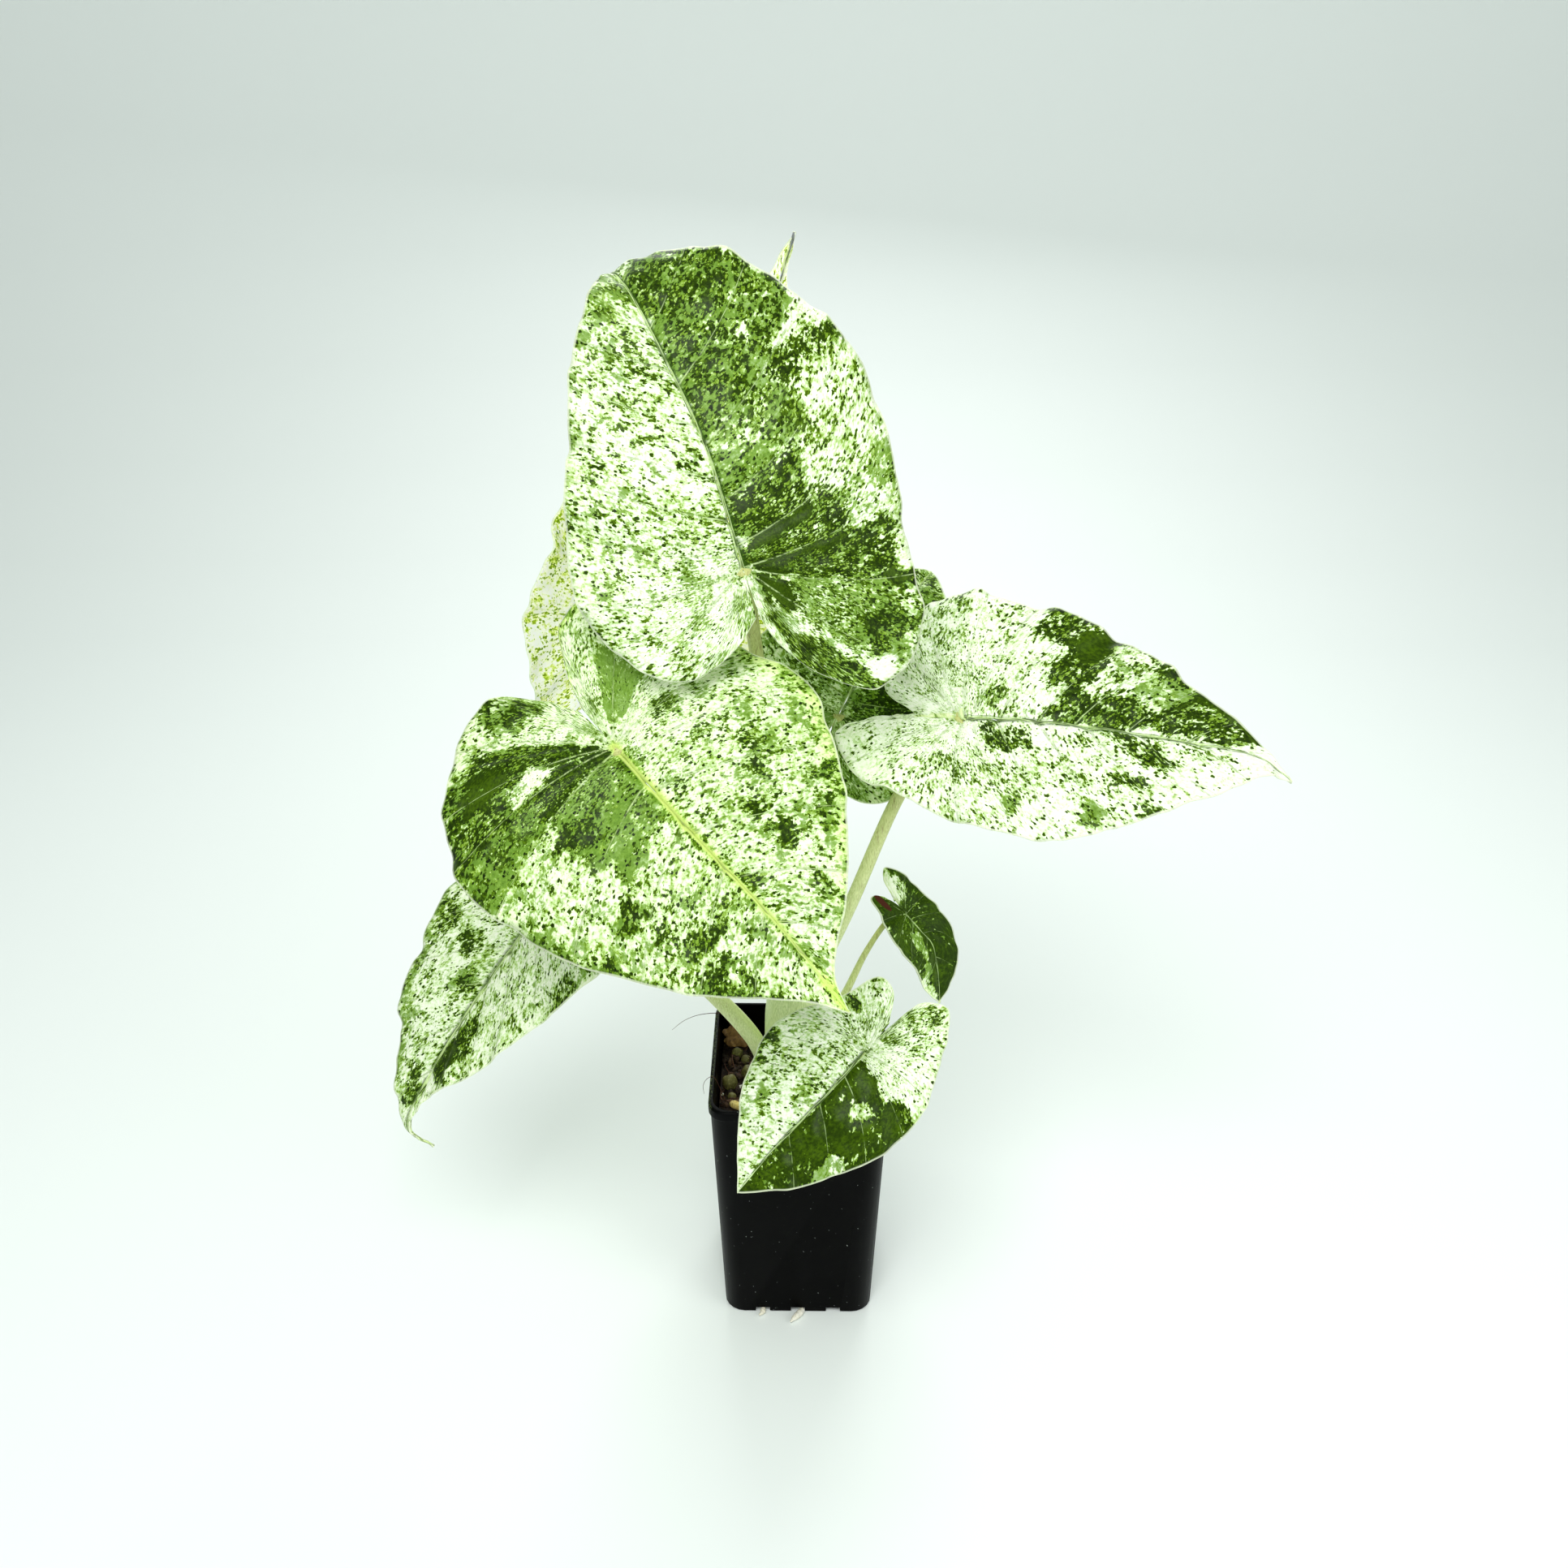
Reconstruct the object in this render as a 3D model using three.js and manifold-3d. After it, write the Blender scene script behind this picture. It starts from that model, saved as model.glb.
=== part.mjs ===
// Potted batik alocasia: eight heart-shaped leaves on pale stalks in a square nursery pot.
// Millimetres, +Z up. The origin is the middle of the pot's base; the photographed side is -Y.

import * as THREE from 'three';
import { mergeVertices } from 'three/addons/utils/BufferGeometryUtils.js';
import Module from 'manifold-3d';

const wasm = await Module();
wasm.setup();

// Gap kept between pieces that touch
const clearance = 0.3;

const pot = {
  height: 95,
  rimWidth: 60,
  topWidth: 59,
  baseWidth: 52,
  wall: 1.2,
  floor: 1.4,
  rimHeight: 4,
  edgeRound: 0.5,
  topCorner: 6,
  baseCorner: 7,
  cornerSteps: 5,
  drainRadius: 4,
  drainSpread: 14,
  slotWidth: 5,
  slotHeight: 2.2,
  slotDepth: 4,
  slotPlaces: [-12.5, 0, 12.5],
};

const soil = { level: 82, crown: 3, relief: 1.3, rings: 6, loopPoints: 36 };

// The stem is a column of wrapped leaf bases: height, half width and half depth
const stem = {
  centre: [-2, 0],
  sides: 16,
  profile: [[62, 5, 5], [70, 9, 8.6], [86, 9.4, 8.8], [104, 9, 8.6], [118, 8.8, 8.4], [124, 8.3, 8.1]],
};

const blade = {
  thickness: 0.8,
  keel: 1.1,
  rowsAcross: [0, 0.07, 0.3, 0.55, 0.8, 1],
  veinLag: 1.8,
  veinBow: 0.22,
};

// Leaves. rib runs from the stalk joint to the tip; face is the side that the upper surface
// looks to. Outlines are [along the rib, out from the rib], from the notch to the tip, with
// the blade lying flat. fold and curl are degrees for the left and right halves, seen from
// above with the tip up. A stalk's route starts inside the stem.
const leaves = {
  top: {
    rib: [[-16, -30, 284], [-26, -17, 313], [-38, -2, 334], [-47, 10, 347], [-53, 22, 350],
      [-57, 33, 345]],
    face: [0.15, -0.87, 0.48],
    fold: [9, 8], curl: [26, 24], lobeFold: 6, lobeLength: 40, lobeDroop: 14, skew: 0.15,
    waveHeight: 2.2, waves: 6, wavePhase: [0.6, 2.2],
    left: [[-14, 0.6], [-20, 8], [-25, 20], [-21, 31], [-8, 42], [10, 45], [34, 39], [56, 30],
      [73, 21], [86, 10], [97, 3], [108, 0]],
    right: [[-14, 0.6], [-23, 4], [-34, 13], [-42, 28], [-34, 42], [-14, 46], [10, 48], [34, 50],
      [52, 46], [68, 39], [84, 25], [97, 9], [108, 0]],
    rays: [12, 13],
    stalk: { route: [[-0.6, -5, 118], [-0.8, -5.6, 128], [-5, -9, 180], [-11, -14, 235],
      [-14, -20, 264]], radius: [2.5, 2] },
  },
  front: {
    rib: [[-51, -46, 238], [-28, -58, 216], [-6, -68, 195], [14, -76, 171]],
    face: [-0.1, -0.7, 0.7],
    fold: [8, 10], curl: [24, 26], lobeFold: 4, lobeLength: 40, lobeDroop: 24, skew: 0,
    waveHeight: 2.4, waves: 6, wavePhase: [1.4, 4.1],
    left: [[-14, 0.6], [-24, 4], [-37, 12], [-36, 24], [-21, 32], [-2, 43], [11, 49], [25, 52],
      [39, 47], [58, 34], [73, 18], [86, 4], [98, 0]],
    right: [[-14, 0.6], [-24, 7], [-34, 18], [-32, 30], [-24, 38], [-18, 48], [0, 56], [20, 54],
      [40, 45], [68, 27], [87, 8], [98, 0]],
    rays: [12, 13],
    stalk: { route: [[-6.3, -2.9, 118], [-7.6, -4.2, 130], [-20, -16, 172], [-38, -32, 215],
      [-48, -40, 230]], radius: [2.5, 2] },
  },
  right: {
    rib: [[48, -8, 229], [75, -12, 229], [110, -17, 226], [133, -19, 222], [144, -20, 214]],
    face: [0.05, -0.5, 0.86],
    fold: [14, 10], curl: [18, 22], lobeFold: 8, lobeLength: 38, lobeDroop: 12, skew: 0,
    waveHeight: 2, waves: 6, wavePhase: [0.2, 3.3],
    left: [[-15, 0.6], [-24, 8], [-22, 22], [-17, 38], [-3, 44], [14, 41], [30, 37], [49, 28],
      [68, 17], [85, 5], [99, 0]],
    right: [[-15, 0.6], [-27, 1.5], [-37, 7], [-33, 18], [-26, 25], [-16, 29], [2, 37], [25, 40],
      [40, 37], [54, 29], [70, 20], [87, 8], [99, 0]],
    rays: [12, 13],
    stalk: { route: [[3.2, -0.3, 118], [4.8, 0, 128], [16, -1, 158], [30, -3, 199], [42, -6, 220]],
      radius: [2.6, 2.1] },
  },
  back: {
    rib: [[-47, 38, 244], [-36, 44, 272], [-22, 50, 306], [-10, 54, 336], [-3, 53, 356]],
    face: [-0.62, 0.76, 0.1],
    fold: [10, 10], curl: [22, 24], lobeFold: 8, lobeLength: 38, lobeDroop: 14, skew: 0,
    waveHeight: 2.2, waves: 6, wavePhase: [2.8, 1.1],
    left: [[-16, 0.6], [-28, 7], [-38, 18], [-39, 30], [-28, 42], [-8, 48], [16, 49], [42, 42],
      [66, 30], [88, 16], [104, 6], [121, 0]],
    right: [[-16, 0.6], [-27, 8], [-37, 19], [-39, 31], [-27, 42], [-8, 48], [16, 49], [42, 43],
      [66, 31], [88, 17], [104, 6], [121, 0]],
    rays: [12, 13],
    stalk: { route: [[-6.1, 3.2, 118], [-7, 4.6, 130], [-18, 14, 175], [-36, 26, 215],
      [-46, 35, 234]], radius: [2.5, 2] },
  },
  middle: {
    rib: [[12, 22, 215], [22, 36, 229], [34, 51, 241], [43, 66, 246]],
    face: [0.1, -0.6, 0.8],
    fold: [9, 9], curl: [20, 20], lobeFold: 6, lobeLength: 26, lobeDroop: 10, skew: 0,
    waveHeight: 1.6, waves: 5, wavePhase: [0.9, 2.9],
    left: [[-9, 0.5], [-17, 5], [-22, 14], [-19, 25], [-8, 32], [7, 35], [22, 32], [38, 24],
      [51, 13], [60, 4], [67, 0]],
    right: [[-9, 0.5], [-17, 5], [-23, 14], [-20, 25], [-9, 32], [6, 34], [22, 32], [38, 24],
      [51, 13], [60, 4], [67, 0]],
    rays: [10, 10],
    stalk: { route: [[-0.2, 4.9, 118], [0.4, 5.6, 130], [5, 10, 165], [9, 16, 195], [11, 20, 206]],
      radius: [2.3, 1.8] },
  },
  lowLeft: {
    rib: [[-74, -4, 168], [-92, -10, 147], [-113, -18, 117], [-128, -22, 91], [-131, -22, 79],
      [-124, -20, 71]],
    face: [-0.4, -0.7, 0.6],
    fold: [10, 12], curl: [24, 26], lobeFold: 8, lobeLength: 28, lobeDroop: 12, skew: 0,
    waveHeight: 1.8, waves: 6, wavePhase: [3.6, 0.4],
    left: [[-11, 0.6], [-20, 7], [-26, 17], [-20, 26], [-8, 30], [12, 30], [32, 27], [50, 22],
      [70, 15], [88, 5], [101, 1.5], [120, 0]],
    right: [[-11, 0.6], [-20, 7], [-27, 18], [-22, 29], [-8, 35], [12, 36], [32, 33], [51, 30],
      [66, 26], [80, 18], [92, 11], [104, 3], [120, 0]],
    rays: [11, 13],
    stalk: { route: [[-7, -2, 90], [-11, -6, 97], [-16, -8, 110], [-27, -8, 125], [-48, -6, 147],
      [-66, -4, 162]], radius: [3, 2.1] },
  },
  small: {
    rib: [[20, -42, 130], [7, -51, 119], [-8, -57, 104], [-19, -62, 91]],
    face: [0.12, -0.68, 0.72],
    fold: [16, 12], curl: [30, 24], lobeFold: 8, lobeLength: 24, lobeDroop: 12, skew: 0,
    waveHeight: 1.3, waves: 5, wavePhase: [0.5, 4.4],
    left: [[-12, 0.5], [-24, 3], [-28, 10], [-22, 15], [-13, 20], [0, 25], [13, 26], [28, 21],
      [45, 14], [56, 5], [61, 0]],
    right: [[-12, 0.5], [-20, 6], [-20, 13], [-11, 16], [-4, 20], [7, 28], [20, 28], [34, 21],
      [48, 9], [61, 0]],
    rays: [10, 10],
    stalk: { route: [[1, -4, 92], [5, -10, 100], [11, -21, 113], [17, -34, 124]],
      radius: [2.4, 1.5] },
  },
  young: {
    rib: [[35, 8, 148], [40, 7, 142], [44, 6, 137], [46, 4, 128], [47, 1, 117]],
    face: [0.6, -0.7, 0.4],
    fold: [14, 14], curl: [20, 20], lobeFold: 12, lobeLength: 14, lobeDroop: 12, skew: 0,
    waveHeight: 0.8, waves: 4, wavePhase: [1, 2],
    left: [[-5, 0.5], [-12, 2], [-16, 6], [-9, 9], [2, 10], [12, 10], [21, 8.5], [29, 5], [35, 0]],
    right: [[-5, 0.5], [-11, 2.5], [-13, 6], [-7, 8], [3, 11], [15, 11], [25, 8.5], [31, 5],
      [35, 0]],
    rays: [7, 8],
    stalk: { route: [[3, 3, 94], [7, 6, 101], [15, 9, 114], [22, 10, 131], [29, 11, 143]],
      radius: [1.6, 1] },
  },
};

// Clay pebbles seen beside the stem: centre, half sizes and turn about the vertical
const seenPebbles = [
  [-22, 15, 2.2, 1.9, 2.4, 20],
  [-17.5, 3.4, 2.7, 2.9, 3.4, 50],
  [-24, -0.6, 2.8, 3, 2.8, 0],
  [-18.2, -5.4, 1.6, 2.6, 2.4, 30],
  [-19, 12.5, 1.8, 1.9, 1.8, 10],
  [-23, -6.7, 1.6, 1.6, 1.5, 70],
];
const drawnPebbles = { count: 8, sizes: [1.8, 3.1], reach: 22, stemClear: 13, seed: 7 };
const barkChip = [-18.6, -10.8, 3.1, 1.5, 1.3, -35];

const leafScrap = {
  rib: [[-25, 19.3, 87.7], [-21.5, 18.8, 88.6], [-17.5, 18.8, 87.6], [-14.5, 18.3, 85.2]],
  face: [0.1, -0.5, 0.86],
  fold: [20, 12], curl: [50, 60], lobeFold: 10, lobeLength: 4, lobeDroop: 0, skew: 0,
  waveHeight: 0.6, waves: 3, wavePhase: [0, 2],
  left: [[-1, 0.4], [-2.5, 2], [0, 4.2], [5, 4.6], [9, 3], [13, 0]],
  right: [[-1, 0.4], [-2, 1.6], [0, 3.4], [5, 4], [9, 2.6], [13, 0]],
  rays: [5, 5],
};

// Root tips that have grown out of the front slots: route and radii
const rootTips = {
  front: { route: [[0.8, -22.7, 1.05], [1.4, -26, 1.1], [0.4, -28, 1.35], [-1.6, -30.4, 1.35],
    [-2.6, -31.6, 1.1]], radii: [0.7, 0.75, 1.2, 1.1, 0.3] },
  left: { route: [[-12.5, -22.7, 1.05], [-12.4, -26, 1.1], [-12.8, -27.6, 1.15], [-13.8, -28.6, 1]],
    radii: [0.7, 0.75, 1, 0.4] },
};

const colours = {
  pot: 0x101112,
  soil: 0x2a1a12,
  stem: 0xd7e6a0,
  stalk: 0xc3d493,
  blade: 0xa9c980,
  shadedBlade: 0x4f7a2c,
  youngBlade: 0x35611d,
  pebble: 0x8a7a4c,
  chip: 0xd9c06a,
  scrap: 0x6a4a22,
  root: 0xe9e6da,
};

function mulberry(seed) {
  let state = seed;
  return () => {
    state = (state + 0x6d2b79f5) | 0;
    let value = Math.imul(state ^ (state >>> 15), 1 | state);
    value = (value + Math.imul(value ^ (value >>> 7), 61 | value)) ^ value;
    return ((value ^ (value >>> 14)) >>> 0) / 4294967296;
  };
}

function vector(list) {
  return new THREE.Vector3(...list);
}

function makeGeometry(positions, faces) {
  const geometry = new THREE.BufferGeometry();
  geometry.setAttribute('position', new THREE.Float32BufferAttribute(positions, 3));
  geometry.setIndex(faces);
  geometry.computeVertexNormals();
  return geometry;
}

function toSolid(geometry) {
  const bare = geometry.clone();
  bare.deleteAttribute('normal');
  bare.deleteAttribute('uv');
  const merged = mergeVertices(bare, 1e-4);
  const mesh = new wasm.Mesh({
    numProp: 3,
    vertProperties: new Float32Array(merged.attributes.position.array),
    triVerts: new Uint32Array(merged.index.array),
  });
  return new wasm.Manifold(mesh);
}

function fromSolid(solid) {
  const mesh = solid.getMesh();
  return makeGeometry(Array.from(mesh.vertProperties), Array.from(mesh.triVerts));
}

// Closed skin over a stack of loops with equal point counts, capped at both ends
function loft(loops) {
  const count = loops[0].length;
  const positions = [];
  const faces = [];
  for (const loop of loops) {
    for (const point of loop) positions.push(point.x, point.y, point.z);
  }
  for (let row = 0; row + 1 < loops.length; row++) {
    for (let i = 0; i < count; i++) {
      const a = row * count + i;
      const b = row * count + ((i + 1) % count);
      faces.push(a, b, b + count, a, b + count, a + count);
    }
  }
  const cap = (loop, start, upward) => {
    const middle = new THREE.Vector3();
    for (const point of loop) middle.add(point);
    middle.divideScalar(count);
    const centre = positions.length / 3;
    positions.push(middle.x, middle.y, middle.z);
    for (let i = 0; i < count; i++) {
      const next = start + ((i + 1) % count);
      if (upward) faces.push(centre, start + i, next);
      else faces.push(centre, next, start + i);
    }
  };
  cap(loops[0], 0, false);
  cap(loops[loops.length - 1], (loops.length - 1) * count, true);
  return makeGeometry(positions, faces);
}

function roundedSquare(width, corner, z, steps) {
  const loop = [];
  const inset = width / 2 - corner;
  for (let quarter = 0; quarter < 4; quarter++) {
    const start = (quarter * Math.PI) / 2;
    const cx = inset * Math.sign(Math.cos(start + Math.PI / 4));
    const cy = inset * Math.sign(Math.sin(start + Math.PI / 4));
    for (let i = 0; i <= steps; i++) {
      const angle = start + ((Math.PI / 2) * i) / steps;
      loop.push(new THREE.Vector3(cx + corner * Math.cos(angle), cy + corner * Math.sin(angle), z));
    }
  }
  return loop;
}

function potWidthAt(z) {
  return THREE.MathUtils.lerp(pot.baseWidth, pot.topWidth, z / pot.height);
}

function potCornerAt(z) {
  return THREE.MathUtils.lerp(pot.baseCorner, pot.topCorner, z / pot.height);
}

function makePot() {
  const { height, wall, rimHeight, edgeRound, cornerSteps } = pot;
  const loopAt = (width, z) => roundedSquare(width, potCornerAt(z), z, cornerSteps);
  const innerAt = (z) => {
    const width = potWidthAt(z) - 2 * wall;
    return roundedSquare(width, potCornerAt(z) - wall, z, cornerSteps);
  };
  const rimFoot = height - rimHeight;
  const shell = loft([
    loopAt(pot.baseWidth - 2 * edgeRound, 0),
    loopAt(pot.baseWidth, edgeRound),
    loopAt(potWidthAt(rimFoot), rimFoot),
    loopAt(pot.rimWidth, rimFoot + edgeRound),
    loopAt(pot.rimWidth, height - edgeRound),
    loopAt(pot.rimWidth - 2 * edgeRound, height),
    loopAt(potWidthAt(height) - 2 * wall + edgeRound, height),
    innerAt(height - edgeRound),
    innerAt(pot.floor + 2),
    roundedSquare(potWidthAt(0) - 2 * wall - 2, pot.baseCorner - wall, pot.floor, cornerSteps),
  ]);
  let solid = toSolid(shell);
  for (const x of [-1, 1]) {
    for (const y of [-1, 1]) {
      const drill = new THREE.CylinderGeometry(pot.drainRadius, pot.drainRadius, 4 * pot.floor, 20);
      drill.rotateX(Math.PI / 2);
      drill.translate(x * pot.drainSpread, y * pot.drainSpread, 0);
      solid = solid.subtract(toSolid(drill));
    }
  }
  for (let side = 0; side < 4; side++) {
    for (const place of pot.slotPlaces) {
      const slot = new THREE.BoxGeometry(pot.slotWidth, 2 * pot.slotDepth, 2 * pot.slotHeight);
      slot.translate(place, -pot.baseWidth / 2, 0);
      slot.rotateZ((side * Math.PI) / 2);
      solid = solid.subtract(toSolid(slot));
    }
  }
  return fromSolid(solid);
}

// Tube through a route with its own radius at every point; ends may be cut to a plane
function sweep(route, radii, sides, steps, endPlane) {
  const curve = new THREE.CatmullRomCurve3(route.map(vector), false, 'catmullrom', 0.5);
  const loops = [];
  const tangent = curve.getTangentAt(0);
  const across = new THREE.Vector3(1, 0, 0);
  if (Math.abs(tangent.x) > 0.8) across.set(0, 1, 0);
  for (let step = 0; step <= steps; step++) {
    const u = step / steps;
    const centre = curve.getPointAt(u);
    const along = curve.getTangentAt(u);
    across.addScaledVector(along, -across.dot(along)).normalize();
    const other = new THREE.Vector3().crossVectors(along, across);
    const place = u * (radii.length - 1);
    const index = Math.min(Math.floor(place), radii.length - 2);
    const radius = THREE.MathUtils.lerp(radii[index], radii[index + 1], place - index);
    const loop = [];
    for (let i = 0; i < sides; i++) {
      const angle = (2 * Math.PI * i) / sides;
      const point = centre.clone();
      point.addScaledVector(across, radius * Math.cos(angle));
      point.addScaledVector(other, radius * Math.sin(angle));
      if (step === steps && endPlane) {
        const reach = endPlane.point.clone().sub(point).dot(endPlane.normal);
        point.addScaledVector(along, reach / along.dot(endPlane.normal));
      }
      loop.push(point);
    }
    loops.push(loop);
  }
  return loft(loops);
}

// Surface of a leaf: a place on the flat blade gives a place in space
function leafSurface(leaf) {
  const curve = new THREE.CatmullRomCurve3(leaf.rib.map(vector), false, 'catmullrom', 0.5);
  curve.arcLengthDivisions = 400;
  const length = curve.getLength();
  const frames = [];
  const frameCount = 120;
  const up = vector(leaf.face);
  for (let i = 0; i <= frameCount; i++) {
    const u = i / frameCount;
    const along = curve.getTangentAt(u);
    up.addScaledVector(along, -up.dot(along)).normalize();
    const across = new THREE.Vector3().crossVectors(along, up);
    frames.push({ origin: curve.getPointAt(u), along, up: up.clone(), across });
  }
  const frameAt = (distance) => {
    const place = THREE.MathUtils.clamp(distance / length, 0, 1) * frameCount;
    const index = Math.min(Math.floor(place), frameCount - 1);
    const blend = place - index;
    const mix = (key) => frames[index][key].clone().lerp(frames[index + 1][key], blend);
    return {
      origin: mix('origin'),
      along: mix('along').normalize(),
      up: mix('up').normalize(),
      across: mix('across').normalize(),
    };
  };
  const halfWidth = Math.max(...leaf.left.map((p) => p[1]), ...leaf.right.map((p) => p[1]));
  const droop = THREE.MathUtils.degToRad(leaf.lobeDroop) / leaf.lobeLength;
  const tilt = (side, lobeShare) => {
    const fold = leaf.fold[side] * (1 - lobeShare) + leaf.lobeFold * lobeShare;
    return THREE.MathUtils.degToRad(fold);
  };
  return {
    length,
    // a: along the rib, t: across it, positive to the right
    place(a, t) {
      const reach = a + leaf.skew * t;
      const { origin, along, up: normal, across } = frameAt(reach);
      const point = origin.clone();
      const past = Math.max(reach - length, 0);
      point.addScaledVector(along, past - leaf.skew * t);
      const behind = Math.max(-reach, 0);
      const turn = droop * behind;
      if (behind > 0) {
        const run = droop ? Math.sin(turn) / droop : behind;
        const drop = droop ? (1 - Math.cos(turn)) / droop : 0;
        point.addScaledVector(along, -run).addScaledVector(normal, -drop);
        normal.multiplyScalar(Math.cos(turn)).addScaledVector(along, -Math.sin(turn));
      }
      const side = t < 0 ? 0 : 1;
      const out = Math.abs(t);
      const start = tilt(side, THREE.MathUtils.clamp(behind / leaf.lobeLength, 0, 1));
      const bend = -THREE.MathUtils.degToRad(leaf.curl[side]) / halfWidth;
      const wide = (Math.sin(start + bend * out) - Math.sin(start)) / bend;
      const high = (Math.cos(start) - Math.cos(start + bend * out)) / bend;
      point.addScaledVector(across, Math.sign(t) * wide);
      point.addScaledVector(normal, high);
      return point;
    },
    normalAt(a, t) {
      const step = 0.5;
      const alongDifference = this.place(a + step, t).sub(this.place(a - step, t));
      const acrossDifference = this.place(a, t + step).sub(this.place(a, t - step));
      return acrossDifference.cross(alongDifference).normalize();
    },
  };
}

// Flat places of the rays that fan out from the rib to the margin, in [ray][row] order
function flatRays(leaf, side, length) {
  const points = leaf[side].map(([a, t]) => new THREE.Vector3(a, t, 0));
  points[points.length - 1].x = length;
  const curve = new THREE.CatmullRomCurve3(points, false, 'catmullrom', 0.5);
  const samples = curve.getSpacedPoints(400);
  const shoulder = 0.06 * length;
  let shoulderIndex = samples.length - 1;
  while (shoulderIndex > 0 && samples[shoulderIndex].x > shoulder) shoulderIndex--;
  const [fanRays, sideRays] = leaf.rays;
  const sign = side === 'left' ? -1 : 1;
  const rays = [];
  for (let ray = 0; ray < fanRays + sideRays; ray++) {
    let origin = 0;
    let index = Math.round((shoulderIndex * ray) / fanRays);
    if (ray >= fanRays) {
      const share = (ray - fanRays) / (sideRays - 1);
      index = Math.round(THREE.MathUtils.lerp(shoulderIndex, samples.length - 1, share));
    }
    if (ray > fanRays) {
      const share = (samples[index].x - shoulder) / (length - shoulder);
      origin = length * Math.pow(Math.max(share, 0), blade.veinLag);
    }
    rays.push({ margin: samples[index], origin, u: index / (samples.length - 1), sign });
  }
  return rays;
}

function makeBlade(leaf) {
  const surface = leafSurface(leaf);
  const { length } = surface;
  const halves = ['left', 'right'].map((side) => flatRays(leaf, side, length));
  const rayCount = halves[0].length;
  const fanRays = leaf.rays[0];
  // Both halves share the rib, so their rays start from common places on it
  const origins = halves[0].map((ray, i) => (ray.origin + halves[1][i].origin) / 2);
  origins[rayCount - 1] = length;
  const rows = blade.rowsAcross;
  const lastRow = rows.length - 1;
  const top = [];
  const bottom = [];
  const addPoint = (a, t, lift, keel) => {
    const normal = surface.normalAt(a, t);
    const middle = surface.place(a, t).addScaledVector(normal, lift);
    top.push(middle.clone().addScaledVector(normal, blade.thickness / 2));
    bottom.push(middle.clone().addScaledVector(normal, -blade.thickness / 2 - keel));
    return top.length - 1;
  };
  const keelAt = (a) => blade.keel * Math.sqrt(Math.max(0, 1 - a / length)) * Math.min(1, length / 80);
  const spine = origins.map((a, i) => {
    if (i > 0 && i <= fanRays) return 0;
    return addPoint(a, 0, 0, i === rayCount - 1 ? 0 : keelAt(a));
  });
  const grids = halves.map((rays, side) =>
    rays.map((ray, i) => {
      const ids = [spine[i]];
      for (let row = 1; row <= lastRow; row++) {
        if (i === rayCount - 1) {
          ids.push(spine[i]);
          continue;
        }
        const v = rows[row];
        const chord = Math.hypot(ray.margin.x - origins[i], ray.margin.y);
        const bow = blade.veinBow * chord * v * (1 - v);
        const a = THREE.MathUtils.lerp(origins[i], ray.margin.x, v) - bow;
        const t = Math.max(v * ray.margin.y, 0.25) * ray.sign;
        const phase = 2 * Math.PI * leaf.waves * ray.u + leaf.wavePhase[side];
        const ripple = Math.sin(phase) + 0.4 * Math.sin(2.3 * phase + 1);
        const fade = Math.min(1, 6 * ray.u, 5 * (1 - ray.u));
        const lift = leaf.waveHeight * ripple * fade * v * v * 0.7;
        ids.push(addPoint(a, t, lift, 0));
      }
      return ids;
    }),
  );
  const boundary = [...grids[1][0]];
  for (let i = 1; i < rayCount; i++) boundary.push(grids[1][i][lastRow]);
  for (let i = rayCount - 2; i >= 0; i--) boundary.push(grids[0][i][lastRow]);
  for (let row = lastRow - 1; row > 0; row--) boundary.push(grids[0][0][row]);

  const total = top.length;
  const faces = [];
  const addTriangle = (a, b, c) => {
    if (a === b || b === c || a === c) return;
    faces.push(a, b, c, a + total, c + total, b + total);
  };
  grids.forEach((grid, side) => {
    for (let i = 0; i + 1 < rayCount; i++) {
      for (let row = 0; row < lastRow; row++) {
        const corners = [grid[i][row], grid[i + 1][row], grid[i + 1][row + 1], grid[i][row + 1]];
        if (side === 1) corners.reverse();
        addTriangle(corners[0], corners[1], corners[2]);
        addTriangle(corners[0], corners[2], corners[3]);
      }
    }
  });
  boundary.forEach((a, i) => {
    const b = boundary[(i + 1) % boundary.length];
    faces.push(a, a + total, b + total, a, b + total, b);
  });
  const positions = [...top, ...bottom].flatMap((point) => [point.x, point.y, point.z]);
  return makeGeometry(positions, faces);
}

// The stalk ends just under the blade's rib, cut to the plane of the blade
function stalkShape(leaf, extra) {
  const surface = leafSurface(leaf);
  const normal = surface.normalAt(0.5, 0);
  const under = blade.thickness / 2 + blade.keel * Math.min(1, surface.length / 80) + clearance;
  const joint = vector(leaf.rib[0]).addScaledVector(normal, -under);
  const [start, next] = leaf.stalk.route.map(vector);
  start.addScaledVector(next.sub(start).normalize(), -extra);
  const route = [start.toArray(), ...leaf.stalk.route.slice(1), joint.toArray()];
  const [base, tip] = leaf.stalk.radius;
  const radii = [base, base, (base + tip) / 2, tip, tip].map((radius) => radius + extra);
  return sweep(route, radii, 8, 11, { point: joint, normal });
}

function makeStem(stalks) {
  const loops = stem.profile.map(([z, halfWidth, halfDepth]) => {
    const loop = [];
    for (let i = 0; i < stem.sides; i++) {
      const angle = (2 * Math.PI * i) / stem.sides;
      const x = stem.centre[0] + halfWidth * Math.cos(angle);
      loop.push(new THREE.Vector3(x, stem.centre[1] + halfDepth * Math.sin(angle), z));
    }
    return loop;
  });
  let solid = toSolid(loft(loops));
  for (const socket of stalks) solid = solid.subtract(toSolid(socket));
  return { solid, loops };
}

function soilHeight(x, y) {
  const reach = Math.hypot(x, y) / (pot.topWidth / 2);
  const lumps = Math.sin(0.55 * x + 1.3) * Math.cos(0.5 * y - 0.4) + 0.6 * Math.sin(1.1 * x - 0.9 * y);
  return soil.level + soil.crown * Math.max(0, 1 - reach) + soil.relief * lumps * 0.6;
}

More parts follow.
